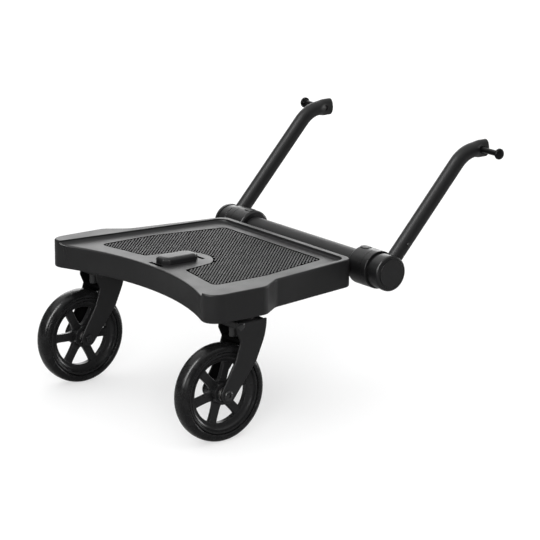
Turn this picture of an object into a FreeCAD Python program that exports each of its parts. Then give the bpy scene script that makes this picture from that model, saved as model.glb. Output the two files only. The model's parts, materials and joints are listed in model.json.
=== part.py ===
import FreeCAD, Part
import math
import os
import re

import Sketcher

# A buggy board: a ribbed tray to stand on, two sprung swivel casters at its trailing edge, and a
# cross tube at its front that carries two folding arms with studs for the pushchair.
# X points to the rider's right, Y to the front and Z up; the wheels stand on Z = 0.
# Lengths are in millimetres and angles in degrees.

SIZES = {
    # wheels and tyres
    "wheel_diameter": 150.0,
    "wheel_inset": 31.4,
    "tyre_width": 31.0,
    "tyre_depth": 12.5,
    "tyre_crown": 5.0,
    "rim_width": 27.0,
    "rim_lip": 6.0,
    "rim_waist_depth": 15.6,
    "rim_waist_width": 10.0,
    "wheel_hub_width": 28.0,
    "wheel_hub_radius": 17.0,
    "spoke_width": 14.0,
    "spoke_thickness": 8.0,
    "bearing_radius": 11.0,
    "bearing_width": 7.0,
    "bearing_shoulder": 2.0,
    "axle_radius": 4.0,
    "axle_head_radius": 8.3,
    "axle_head_thickness": 3.6,
    "axle_nut_width": 13.0,
    "axle_nut_thickness": 4.0,
    "axle_spacer_wall": 2.5,
    # caster forks
    "fork_gap": 40.0,
    "cheek_thickness": 5.5,
    "axle_boss_radius": 12.6,
    "fork_reach": 70.4,
    "swivel_trail": 44.0,
    "tyre_clearance": 1.5,
    "bridge_thickness": 5.0,
    "bridge_length": 24.0,
    "bumper_length": 15.5,
    "bumper_radius": 6.5,
    "bumper_reach": 27.0,
    "head_height": 10.0,
    "head_length": 50.5,
    "head_rear": 17.5,
    "neck_radius": 17.0,
    "neck_height": 5.5,
    "washer_thickness": 1.3,
    "pivot_reach": 58.0,
    "pivot_drop": 5.0,
    "pivot_radius": 3.0,
    "pivot_engagement": 3.5,
    "limiter_reach": 23.4,
    "limiter_drop": 5.2,
    "limiter_radius": 2.8,
    "limiter_head_radius": 4.2,
    "limiter_head_thickness": 1.6,
    "kingpin_radius": 6.0,
    "kingpin_head_radius": 9.0,
    "kingpin_head_thickness": 3.0,
    "bush_wall": 3.0,
    "boss_wall": 9.0,
    "clip_thickness": 1.2,
    "clip_width": 2.4,
    "clip_depth": 1.0,
    # deck tray
    "deck_height": 43.6,
    "deck_rear_width": 438.0,
    "deck_waist_width": 390.0,
    "deck_front_width": 334.0,
    "deck_front": 268.4,
    "trailing_edge": 6.5,
    "trailing_hollow": 53.0,
    "shoulder_start": 66.0,
    "shoulder_length": 34.0,
    "rear_corner_radius": 24.0,
    "shoulder_radius": 22.0,
    "front_corner_radius": 20.0,
    "deck_rim_height": 5.5,
    "side_rim_width": 34.0,
    "front_side_rim_width": 17.0,
    "front_rim_width": 9.0,
    "deck_wall": 3.5,
    "deck_floor": 3.3,
    "rib_thickness": 2.5,
    "rib_inset": 2.0,
    "rib_spacing": 52.0,
    "first_cross_rib": 3.0,
    # standing mat
    "mat_thickness": 2.3,
    "mat_recess": 2.5,
    "mat_width": 304.0,
    "mat_front_width": 252.0,
    "mat_rear": 18.0,
    "mat_shoulder": 115.0,
    "mat_front_margin": 30.4,
    "mat_corner_radius": 10.0,
    "mat_margin": 0.3,
    "tongue_width": 108.0,
    "tongue_tip_width": 86.0,
    "tongue_start": 35.0,
    "tongue_shoulder": 90.0,
    "tongue_crown": 24.0,
    # lift handle
    "handle_length": 65.0,
    "handle_width": 36.0,
    "handle_height": 10.3,
    "handle_corner": 9.0,
    "handle_centre": 56.8,
    "handle_slot_length": 33.0,
    "handle_slot_width": 3.2,
    "handle_leg_spacing": 46.0,
    "handle_slit_length": 33.0,
    "handle_slit_width": 3.6,
    "handle_slit_spacing": 74.5,
    "handle_leg_thickness": 2.2,
    "handle_leg_width": 30.0,
    "handle_root": 2.0,
    "handle_hook": 2.5,
    "handle_hook_height": 4.0,
    "handle_travel": 19.0,
    # cross tube and its saddles
    "tube_reach": 37.6,
    "hinge_rise": 22.8,
    "cross_tube_radius": 20.0,
    "cross_tube_wall": 2.0,
    "saddle_place": 72.0,
    "saddle_width": 45.0,
    "saddle_floor": 4.0,
    "saddle_nose": 14.0,
    "saddle_screw_radius": 2.5,
    "saddle_screw_head_radius": 4.5,
    "saddle_screw_head_thickness": 2.5,
    "saddle_screw_grip": 9.0,
    "saddle_screw_spacing": 26.0,
    "saddle_screw_rise": 12.0,
    # arm hinges
    "hub_span": 428.0,
    "cap_thickness": 9.0,
    "cap_radius": 28.0,
    "cap_disc_radius": 22.0,
    "cap_disc_thickness": 1.2,
    "cap_plug_radius": 19.5,
    "cap_plug_length": 3.0,
    "arm_hub_radius": 27.0,
    "arm_hub_width": 16.0,
    "arm_hub_neck_radius": 26.0,
    "arm_hub_neck_width": 3.6,
    "hub_recess_depth": 8.0,
    "collar_radius": 29.5,
    "collar_width": 46.0,
    "collar_plug_length": 22.0,
    "collar_core": 10.0,
    "pivot_shaft_radius": 12.0,
    "hinge_bolt_radius": 4.0,
    "hinge_bolt_head_radius": 8.0,
    "hinge_bolt_head_thickness": 4.5,
    "hinge_washer_thickness": 1.2,
    "collar_rivet_radius": 2.5,
    "collar_rivet_head_radius": 4.5,
    "collar_rivet_head_thickness": 1.5,
    # release buttons
    "button_place": 12.0,
    "button_width": 18.0,
    "button_depth": 14.0,
    "button_proud": 0.9,
    "button_height": 7.5,
    "button_travel": 3.0,
    "button_gap": 0.3,
    "button_spring_radius": 3.5,
    "button_spring_wall": 1.0,
    "button_spring_solid": 2.5,
    # arms
    "arm_radius": 11.7,
    "arm_wall": 1.6,
    "arm_angle": 47.3,
    "arm_rise": 168.0,
    "arm_bend_radius": 52.0,
    "arm_end_length": 44.5,
    "arm_flat_height": 27.5,
    "arm_flat_thickness": 17.0,
    "arm_cap_thickness": 3.0,
    "arm_cope_gap": 0.4,
    "spigot_length": 66.0,
    "snap_reach": 54.0,
    "snap_radius": 3.3,
    "snap_proud": 1.8,
    "snap_travel": 3.6,
    "snap_foot_radius": 4.6,
    "snap_foot_thickness": 1.6,
    "snap_gap": 0.2,
    # studs at the ends of the arms
    "stud_radius": 4.5,
    "stud_setback": 16.0,
    "stud_length": 38.0,
    "stud_head_radius": 8.7,
    "stud_head_thickness": 6.0,
    "stud_head_rounding": 1.4,
    # clearances
    "running_gap": 0.05,
    "seat_gap": 0.02,
    "side_gap": 0.3,
    "overrun": 1.0,
}

# Turns of the spokes from the forward direction, and counts
SPOKES = 6
RIGHT_SPOKE_TURN = 13.0
LEFT_SPOKE_TURN = -9.0
FULL_TURN = 360.0

# Places worked out from the sizes
DERIVED = {
    "wheel_radius": "wheel_diameter / 2",
    "wheel_x": "deck_rear_width / 2 - wheel_inset",
    "hinge_reach": "deck_front + tube_reach",
    "mat_front": "deck_front - mat_front_margin",
    "tip_reach": "hinge_reach + arm_rise / tan(arm_angle * 1deg) + arm_end_length",
    "axle_y": "(wheel_radius - tip_reach) / 2",
    "rim_radius": "wheel_radius - tyre_depth",
    "bridge_bottom": "wheel_diameter + tyre_clearance",
    "bridge_top": "bridge_bottom + bridge_thickness",
    "head_bottom": "bridge_top + bumper_length",
    "head_top": "head_bottom + head_height",
    "neck_top": "head_top + neck_height",
    "deck_bottom": "neck_top + side_gap + washer_thickness",
    "deck_top": "deck_bottom + deck_height",
    "deck_plane": "deck_top - deck_rim_height",
    "mat_bed": "deck_plane - mat_recess",
    "deck_ceiling": "mat_bed - deck_floor",
    "swivel_y": "axle_y + swivel_trail",
    "pivot_y": "axle_y + pivot_reach",
    "pivot_z": "head_top - pivot_drop",
    "limiter_y": "axle_y + limiter_reach",
    "limiter_z": "head_top - limiter_drop",
    "cheek_height": "head_top - wheel_radius",
    "cheek_outer": "fork_gap / 2 + cheek_thickness",
    "bush_radius": "kingpin_radius + running_gap + bush_wall",
    "clip_radius": "kingpin_radius + clip_width - clip_depth",
    "clip_bottom": "deck_ceiling - clip_thickness * 2",
    "hinge_y": "axle_y + hinge_reach",
    "hinge_z": "deck_bottom + hinge_rise",
    "cap_face": "hub_span / 2",
    "hub_face": "cap_face - cap_thickness",
    "neck_face": "hub_face - arm_hub_width",
    "washer_face": "neck_face - arm_hub_neck_width",
    "collar_face": "washer_face - hinge_washer_thickness",
    "collar_inner": "collar_face - collar_width",
    "tube_bore": "cross_tube_radius - cross_tube_wall",
    "arm_x": "hub_face - arm_hub_width / 2",
    "arm_bore": "arm_radius - arm_wall",
    "arm_end_z": "hinge_z + arm_rise",
    "arm_vertex_y": "hinge_y + arm_rise / tan(arm_angle * 1deg)",
    "arm_tip_y": "arm_vertex_y + arm_end_length",
    "bend_run": "arm_bend_radius * tan(arm_angle / 2 * 1deg)",
    "bend_bow": "arm_bend_radius * (1 - cos(arm_angle / 2 * 1deg))",
    "flat_start_y": "arm_vertex_y + bend_run",
    "stud_y": "arm_tip_y - stud_setback",
    "snap_foot_top": "arm_x + arm_bore - snap_foot_thickness - snap_gap",
    "button_x": "collar_inner + button_place",
    "button_top": "hinge_z + collar_radius + button_proud",
    "button_bottom": "button_top - button_height",
    "button_pocket_floor": "button_bottom - button_travel - button_spring_solid",
    "handle_y": "axle_y + handle_centre",
    "hook_top": "deck_ceiling - handle_travel - side_gap",
}

# Fork cheek outline, as shares of the fork's reach and of its height above the axle
CHEEK_SHARES = (
    (0.141, -0.073),
    (0.732, 0.425),
    (0.991, 0.815),
    (1.000, 1.000),
    (0.249, 1.000),
    (0.239, 0.853),
    (0.327, 0.722),
    (0.199, 0.462),
    (-0.161, 0.052),
)

ALONG_X = FreeCAD.Rotation(FreeCAD.Vector(0, 1, 0), 90)
ALONG_Y = FreeCAD.Rotation(FreeCAD.Vector(1, 0, 0), -90)
ALONG_Z = FreeCAD.Rotation()
UPRIGHT_ACROSS_Y = FreeCAD.Rotation(FreeCAD.Vector(1, 1, 1), 240)
SIDEWAYS = FreeCAD.Vector(1, 0, 0)

doc = FreeCAD.newDocument("buggy_board")
sheet = doc.addObject("Spreadsheet::Sheet", "sizes")
for row, (alias, number) in enumerate(SIZES.items(), start=1):
    sheet.set(f"A{row}", alias)
    sheet.set(f"B{row}", str(number))
    sheet.setAlias(f"B{row}", alias)
doc.recompute()

nodes = {}


# Binding sizes to the sheet

def formula(text):
    """Write a formula of size names as an expression on the sheet."""
    def cell(match):
        name = match.group(0)
        if name in DERIVED:
            return "(" + formula(DERIVED[name]) + ")"
        return f"sizes.{name}" if name in SIZES else name
    return re.sub(r"[a-z][a-z_]+", cell, text)


def value(text):
    """The present value of a formula."""
    return float(sheet.evalExpression(formula(text)))


def bind(item, **formulas):
    for name, text in formulas.items():
        item.setExpression(name, formula(text))


def put(item, x="0", y="0", z="0", turn=ALONG_Z):
    """Place an item at a point given by formulas."""
    item.Placement = FreeCAD.Placement(FreeCAD.Vector(), turn)
    for axis, text in zip("xyz", (x, y, z)):
        item.setExpression(f"Placement.Base.{axis}", formula(text))
    return item


# Basic solids

def rod(name, axis, radius, start, end, x="0", y="0", z="0"):
    """A round bar along one axis, from start to end on that axis."""
    item = doc.addObject("Part::Cylinder", name)
    bind(item, Radius=radius, Height=f"({end}) - ({start})")
    spot = {"x": x, "y": y, "z": z}
    spot[axis] = start
    turn = {"x": ALONG_X, "y": ALONG_Y, "z": ALONG_Z}[axis]
    return put(item, turn=turn, **spot)


def block(name, low, high):
    """A box between two corners given by formulas."""
    item = doc.addObject("Part::Box", name)
    lengths = [f"({b}) - ({a})" for a, b in zip(low, high)]
    bind(item, Length=lengths[0], Width=lengths[1], Height=lengths[2])
    return put(item, *low)


def join(name, *items):
    item = doc.addObject("Part::MultiFuse", name)
    item.Shapes = list(items)
    item.Refine = True
    return item


def cut(name, base, *tools):
    item = doc.addObject("Part::Cut", name)
    item.Base = base
    item.Tool = tools[0] if len(tools) == 1 else join(name + "_cutters", *tools)
    return item


def overlap(name, base, tool):
    item = doc.addObject("Part::Common", name)
    item.Base = base
    item.Tool = tool
    return item


def group(name, *items):
    """Separate solids that share one node."""
    item = doc.addObject("Part::Compound", name)
    item.Links = list(items)
    return item


def ring(name, axis, outer, inner, start, end, **spot):
    return cut(name, rod(name + "_outside", axis, outer, start, end, **spot),
               rod(name + "_bore", axis, inner, f"({start}) - overrun", f"({end}) + overrun", **spot))


def mirrored(name, item):
    """The same piece on the other side of the middle plane."""
    twin = doc.addObject("Part::Mirroring", name)
    twin.Source = item
    twin.Normal = SIDEWAYS
    return twin


def finish(node, item):
    """Name a finished piece."""
    item.Label = node
    nodes[node] = item
    return item


def finish_pair(node, item):
    """Name a right-hand piece and its left-hand twin."""
    finish(node + "_right", item)
    finish(node + "_left", mirrored(node + "_twin", item))
    return item


# Sketched solids

def origin_feature(body, role):
    return next(f for f in body.Origin.OriginFeatures if f.Role == role)


def pin_point(sketch, geometry, end, across, up):
    """Hold one sketch point at a place given by two formulas."""
    for kind, text, axis in (("DistanceX", across, -2), ("DistanceY", up, -1)):
        if text == "0":
            sketch.addConstraint(Sketcher.Constraint("PointOnObject", geometry, end, axis))
            continue
        index = sketch.addConstraint(Sketcher.Constraint(kind, -1, 1, geometry, end, value(text)))
        sketch.setExpression(f"Constraints[{index}]", formula(text))


def bowed_edge(start, end, bow):
    """An arc that bows to the right of its travel by bow, or to the left if it is negative."""
    chord = end - start
    half = chord.Length / 2
    radius = (half * half + bow * bow) / (2 * abs(bow))
    left = FreeCAD.Vector(-chord.y, chord.x, 0).normalize()
    side = math.copysign(1, bow)
    centre = (start + end) / 2 + left * side * (radius - abs(bow))
    angles = [math.atan2(p.y - centre.y, p.x - centre.x) for p in (start, end)]
    if side < 0:
        angles.reverse()
    return Part.ArcOfCircle(Part.Circle(centre, FreeCAD.Vector(0, 0, 1), radius), *angles)


def draw(body, name, plane, points, offset="0", closed=True):
    """A sketch through points (across, up), or (across, up, bow) where an arc leads to the next."""
    sketch = body.newObject("Sketcher::SketchObject", name)
    sketch.AttachmentSupport = [(origin_feature(body, plane), "")]
    sketch.MapMode = "FlatFace"
    sketch.setExpression("AttachmentOffset.Base.z", formula(offset))
    spots = [FreeCAD.Vector(value(p[0]), value(p[1]), 0) for p in points]
    count = len(points) if closed else len(points) - 1
    ends = []
    for i in range(count):
        j = (i + 1) % len(points)
        if len(points[i]) == 2:
            sketch.addGeometry(Part.LineSegment(spots[i], spots[j]))
            ends.append((1, 2))
            continue
        bow = value(points[i][2])
        sketch.addGeometry(bowed_edge(spots[i], spots[j], bow))
        ends.append((1, 2) if bow > 0 else (2, 1))
    for i in range(count):
        pin_point(sketch, i, ends[i][0], *points[i][:2])
        if closed or i + 1 < count:
            j = (i + 1) % count
            sketch.addConstraint(Sketcher.Constraint("Coincident", i, ends[i][1], j, ends[j][0]))
    if not closed:
        pin_point(sketch, count - 1, ends[-1][1], *points[-1][:2])
    for i in range(count):
        if len(points[i]) == 3:
            (u, v, bow), (u_next, v_next) = points[i], points[(i + 1) % len(points)][:2]
            chord = f"(({u_next}) - ({u}))^2 + (({v_next}) - ({v}))^2"
            radius = f"(({chord}) / 4 + ({bow})^2) / (2 * abs({bow}))"
            index = sketch.addConstraint(Sketcher.Constraint("Radius", i, value(radius)))
            sketch.setExpression(f"Constraints[{index}]", formula(radius))
    return sketch


def pad(name, plane, points, start, length):
    """A solid with a sketched outline."""
    body = doc.addObject("PartDesign::Body", name)
    feature = body.newObject("PartDesign::Pad", name + "_pad")
    feature.Profile = draw(body, name + "_outline", plane, points, start)
    bind(feature, Length=length)
    return body


def turned(name, points, x, y, z):
    """A solid of revolution about an axis along X; its points are (along, radius)."""
    body = doc.addObject("PartDesign::Body", name)
    feature = body.newObject("PartDesign::Revolution", name + "_turn")
    feature.Profile = draw(body, name + "_section", "XZ_Plane", points)
    feature.ReferenceAxis = (origin_feature(body, "X_Axis"), [""])
    feature.Angle = FULL_TURN
    return put(body, x, y, z)


def round_upright_edges(body, radius, places):
    """Fillet the upright edges of a body's last feature that stand at the given places."""
    doc.recompute()
    base = body.Tip
    names = []
    for index, edge in enumerate(base.Shape.Edges, start=1):
        box = edge.BoundBox
        for x, y in places:
            off = abs(abs(box.Center.x) - value(x)) + abs(box.Center.y - value(y))
            if max(box.XLength, box.YLength, off) < value("side_gap"):
                names.append(f"Edge{index}")
    feature = body.newObject("PartDesign::Fillet", f"{body.Name}_rounding")
    feature.Base = (base, names)
    bind(feature, Radius=radius)
    return body


def both_sides(points):
    """A closed outline from its right-hand points, which run from front to rear."""
    left = [(f"-({p[0]})", p[1]) for p in points]
    return left + points[::-1]


# Deck tray, mat and lift handle

def deck_outline(name, inset, start, length):
    """The plan of the tray, drawn in by inset all round, as an upright solid."""
    half = [(f"deck_front_width / 2 - {inset}", f"axle_y + deck_front - {inset}"),
            (f"deck_waist_width / 2 - {inset}", "axle_y + shoulder_start + shoulder_length"),
            (f"deck_rear_width / 2 - {inset}", "axle_y + shoulder_start"),
            (f"deck_rear_width / 2 - {inset}", f"axle_y + trailing_edge - trailing_hollow + {inset}")]
    points = both_sides(half)
    corner = len(half) - 1
    points[corner] = points[corner] + ("-trailing_hollow",)
    body = pad(name, "XY_Plane", points, start, length)
    round_upright_edges(body, f"front_corner_radius - {inset}", half[:1])
    round_upright_edges(body, "shoulder_radius", half[1:3])
    return round_upright_edges(body, f"rear_corner_radius - {inset}", half[3:])


def mat_outline(name, margin, start, length):
    """The plan of the mat, drawn in by margin, with its notch round the handle tongue."""
    half = [(f"mat_front_width / 2 - {margin}", f"axle_y + mat_front - {margin}"),
            (f"mat_width / 2 - {margin}", "axle_y + mat_shoulder"),
            (f"mat_width / 2 - {margin}", f"axle_y + mat_rear + {margin}"),
            (f"tongue_width / 2 + {margin}", f"axle_y + tongue_start + {margin}"),
            (f"tongue_tip_width / 2 + {margin}", f"axle_y + tongue_shoulder + {margin}")]
    points = both_sides(half)
    tip = len(half) - 1
    points[tip] = points[tip] + ("-tongue_crown",)
    body = pad(name, "XY_Plane", points, start, length)
    return round_upright_edges(body, "mat_corner_radius", [half[0], half[2]])


def deck_ribs(hollow):
    """Ribs along and across the hollow underside of the tray."""
    low, high = "deck_bottom + rib_inset", "deck_ceiling + deck_floor / 2"
    ribs = []
    for step in (-3.5, -2.5, -1.5, -0.5, 0.5, 1.5, 2.5, 3.5):
        middle = f"({step}) * rib_spacing"
        ribs.append(block("long_rib", (f"{middle} - rib_thickness / 2", "axle_y - trailing_hollow", low),
                          (f"{middle} + rib_thickness / 2", "axle_y + deck_front", high)))
    for step in range(5):
        middle = f"axle_y + first_cross_rib + {step} * rib_spacing"
        ribs.append(block("cross_rib", ("-deck_rear_width / 2", f"{middle} - rib_thickness / 2", low),
                          ("deck_rear_width / 2", f"{middle} + rib_thickness / 2", high)))
    bosses = [rod("caster_boss", "z", "bush_radius + boss_wall", "deck_bottom", high,
                  x=f"{side} * wheel_x", y="swivel_y") for side in (-1, 1)]
    return overlap("ribs_in_tray", join("ribs", *ribs, *bosses), hollow)


def handle_slots():
    """Slots for the handle's legs, and the slits beyond its two ends."""
    slots = []
    for kind, place in (("slot", "handle_leg_spacing / 2"), ("slit", "handle_slit_spacing / 2")):
        half_length, half_width = f"handle_{kind}_length / 2", f"handle_{kind}_width / 2"
        for side in (-1, 1):
            middle = f"handle_y + ({side}) * {place}"
            slots.append(block(f"handle_{kind}",
                               (f"-{half_length}", f"{middle} - {half_width}", "deck_ceiling - overrun"),
                               (half_length, f"{middle} + {half_width}", "deck_plane + overrun")))
    return slots


def saddle_wall_screws(radius, start, end):
    """Bars along the screws that hold the saddles to the tray's front wall."""
    return [rod("wall_screw", "y", radius, start, end,
                x=f"({side}) * saddle_place + ({step}) * saddle_screw_spacing / 2",
                z="deck_bottom + saddle_screw_rise")
            for side in (-1, 1) for step in (-1, 1)]


def make_deck():
    outside = deck_outline("tray_outside", "0", "deck_bottom", "deck_height")
    hollow = deck_outline("tray_hollow", "deck_wall", "deck_bottom", "deck_ceiling - deck_bottom")
    rim = [("deck_front_width / 2 - front_side_rim_width", "axle_y + deck_front - front_rim_width"),
           ("deck_rear_width / 2 - side_rim_width", "axle_y - trailing_hollow")]
    recess = pad("tray_recess", "XY_Plane", both_sides(rim), "deck_plane", "deck_rim_height + overrun")
    round_upright_edges(recess, "front_corner_radius - front_rim_width", rim[:1])
    bed = mat_outline("mat_bed", "0", "mat_bed", "mat_recess + overrun")
    shell = cut("tray_shell", outside, hollow, recess, bed)
    sockets = [rod("bush_socket", "z", "bush_radius + seat_gap", "deck_bottom - overrun", "deck_ceiling",
                   x=f"{side} * wheel_x", y="swivel_y") for side in (-1, 1)]
    wall = "axle_y + deck_front"
    holes = saddle_wall_screws("saddle_screw_radius + seat_gap", f"{wall} - deck_wall - overrun",
                               f"{wall} + overrun")
    finish("deck_tray", cut("tray", join("tray_with_ribs", shell, deck_ribs(hollow)),
                            *sockets, *holes, *handle_slots()))
    finish("standing_mat", mat_outline("mat", "mat_margin", "mat_bed", "mat_thickness"))


def make_handle():
    """The grip on the tongue, with two hooked legs that slide in the tray's slots."""
    ends = [f"handle_y {sign} handle_length / 2" for sign in "+-"]
    half = [("handle_width / 2 - handle_corner", ends[0]),
            ("handle_width / 2", f"{ends[0]} - handle_corner"),
            ("handle_width / 2", f"{ends[1]} + handle_corner"),
            ("handle_width / 2 - handle_corner", ends[1])]
    grip = pad("grip", "XY_Plane", both_sides(half), "deck_plane", "handle_height")
    solids = [grip]
    leg_near = "handle_leg_spacing / 2 - handle_leg_thickness / 2"
    leg_far = "handle_leg_spacing / 2 + handle_leg_thickness / 2"
    leg = ("hook_top - handle_hook_height", "deck_plane + handle_root")
    hook = (leg[0], "hook_top")
    for side in (-1, 1):
        for near, far, heights in ((leg_near, leg_far, leg), (leg_near, f"{leg_far} + handle_hook", hook)):
            ends = (near, far) if side > 0 else (f"-({far})", f"-({near})")
            solids.append(block("handle_limb", ("-handle_leg_width / 2", f"handle_y + {ends[0]}", heights[0]),
                                ("handle_leg_width / 2", f"handle_y + {ends[1]}", heights[1])))
    finish("lift_handle", join("handle", *solids))


# Wheels

def make_wheel(side_name, side, turn):
    """A spoked rim on two bearings with a rubber tyre."""
    spot = {"x": f"({side}) * wheel_x", "y": "axle_y", "z": "wheel_radius"}
    rim_half, waist_half = "rim_width / 2", "rim_waist_width / 2"
    lip, waist = "rim_radius - rim_lip", "rim_radius - rim_waist_depth"
    body = doc.addObject("PartDesign::Body", f"rim_{side_name}")
    spoke = body.newObject("PartDesign::Pad", "spoke")
    inner = "bearing_radius + seat_gap"
    outer = "rim_radius - rim_lip"
    spoke.Profile = draw(body, "spoke_outline", "YZ_Plane",
                         [("0", "-spoke_width / 2"), (outer, "-spoke_width / 2"),
                          (outer, "spoke_width / 2"), ("0", "spoke_width / 2")])
    bind(spoke, Length="spoke_thickness")
    spoke.Midplane = True
    spokes = body.newObject("PartDesign::PolarPattern", "spokes")
    spokes.Originals = [spoke]
    spokes.Axis = (origin_feature(body, "X_Axis"), [""])
    spokes.Angle = FULL_TURN
    spokes.Occurrences = SPOKES
    body.Tip = spokes
    doc.recompute()
    ring_turn = body.newObject("PartDesign::Revolution", "rim_ring")
    ring_turn.Profile = draw(body, "rim_section", "XZ_Plane",
                             [(f"-{rim_half}", "rim_radius"), (f"-{rim_half}", lip),
                              (f"-{waist_half}", waist), (waist_half, waist),
                              (rim_half, lip), (rim_half, "rim_radius")])
    ring_turn.ReferenceAxis = (origin_feature(body, "X_Axis"), [""])
    ring_turn.Angle = FULL_TURN
    put(body, turn=FreeCAD.Rotation(SIDEWAYS, turn), **spot)
    hub_half = "wheel_hub_width / 2"
    low, high = (f"({side}) * wheel_x - {hub_half}", f"({side}) * wheel_x + {hub_half}")
    line = {"y": "axle_y", "z": "wheel_radius"}
    hub = rod("wheel_hub", "x", "wheel_hub_radius", low, high, **line)
    bore = rod("hub_bore", "x", "bearing_radius - bearing_shoulder", f"{low} - overrun", f"{high} + overrun",
               **line)
    seats = [rod("bearing_seat", "x", inner, f"{low} - overrun", f"{low} + bearing_width", **line),
             rod("bearing_seat", "x", inner, f"{high} - bearing_width", f"{high} + overrun", **line)]
    finish(f"wheel_rim_{side_name}", cut("wheel_rim", join("rim_and_hub", body, hub), bore, *seats))
    bearings = [ring("bearing", "x", "bearing_radius", "axle_radius + running_gap", a, b, **line)
                for a, b in ((low, f"{low} + bearing_width"), (f"{high} - bearing_width", high))]
    finish(f"wheel_bearings_{side_name}", group("bearings", *bearings))
    tread = "wheel_radius - tyre_crown"
    foot = "rim_radius + seat_gap"
    section = [("-tyre_width / 2", foot), ("tyre_width / 2", foot),
               ("tyre_width / 2", tread, "tyre_crown"), ("-tyre_width / 2", tread)]
    finish(f"tyre_{side_name}", turned("tyre", section, **spot))


# Caster forks, built on the right and mirrored

def make_fork():
    """Two cheeks and the bridge between them that bears on the bumper."""
    outline = [(f"axle_y + ({u}) * fork_reach", f"wheel_radius + ({v}) * cheek_height")
               for u, v in CHEEK_SHARES]
    inner, outer = "fork_gap / 2", "cheek_outer"
    line = {"y": "axle_y", "z": "wheel_radius"}
    solids = []
    for start, end in ((f"wheel_x + {inner}", f"wheel_x + {outer}"),
                       (f"wheel_x - {outer}", f"wheel_x - {inner}")):
        solids.append(pad("cheek", "YZ_Plane", outline, start, "cheek_thickness"))
        solids.append(rod("axle_boss", "x", "axle_boss_radius", start, end, **line))
    middle = "axle_y + bumper_reach"
    solids.append(block("bridge", (f"wheel_x - {inner}", f"{middle} - bumper_radius", "bridge_bottom"),
                        (f"wheel_x + {inner}", f"{middle} - bumper_radius + bridge_length", "bridge_top")))
    across = (f"wheel_x - {outer} - overrun", f"wheel_x + {outer} + overrun")
    axle_hole = rod("axle_hole", "x", "axle_radius + seat_gap", *across, **line)
    limiter_hole = rod("limiter_hole", "x", "limiter_radius + seat_gap", *across,
                       y="limiter_y", z="limiter_z")
    reach = "fork_gap / 2 + pivot_engagement + side_gap"
    pivot_hole = rod("pivot_hole", "x", "pivot_radius + running_gap", f"wheel_x - ({reach})",
                     f"wheel_x + {reach}", y="pivot_y", z="pivot_z")
    finish_pair("caster_fork", cut("fork", join("fork_solid", *solids), axle_hole, limiter_hole, pivot_hole))


def make_axle():
    line = {"y": "axle_y", "z": "wheel_radius"}
    right, left = "wheel_x + cheek_outer", "wheel_x - cheek_outer"
    shank = rod("axle_shank", "x", "axle_radius", f"{left} - axle_nut_thickness", right, **line)
    head = rod("axle_head", "x", "axle_head_radius", right, f"{right} + axle_head_thickness", **line)
    finish_pair("axle_bolt", join("axle", shank, head))
    nut = doc.addObject("Part::Prism", "nut_body")
    nut.Polygon = 6
    bind(nut, Circumradius="axle_nut_width / 2 / cos(30deg)", Height="axle_nut_thickness")
    put(nut, f"{left} - axle_nut_thickness", "axle_y", "wheel_radius", ALONG_X)
    thread = rod("nut_bore", "x", "axle_radius + seat_gap", f"{left} - axle_nut_thickness - overrun",
                 f"{left} + overrun", **line)
    finish_pair("axle_nut", cut("nut", nut, thread))
    spacers = []
    for start, end in (("wheel_x - fork_gap / 2", "wheel_x - wheel_hub_width / 2 - side_gap"),
                       ("wheel_x + wheel_hub_width / 2 + side_gap", "wheel_x + fork_gap / 2")):
        spacers.append(ring("axle_spacer", "x", "axle_radius + axle_spacer_wall", "axle_radius + seat_gap",
                            start, end, **line))
    finish_pair("axle_spacers", group("spacers", *spacers))


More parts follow.
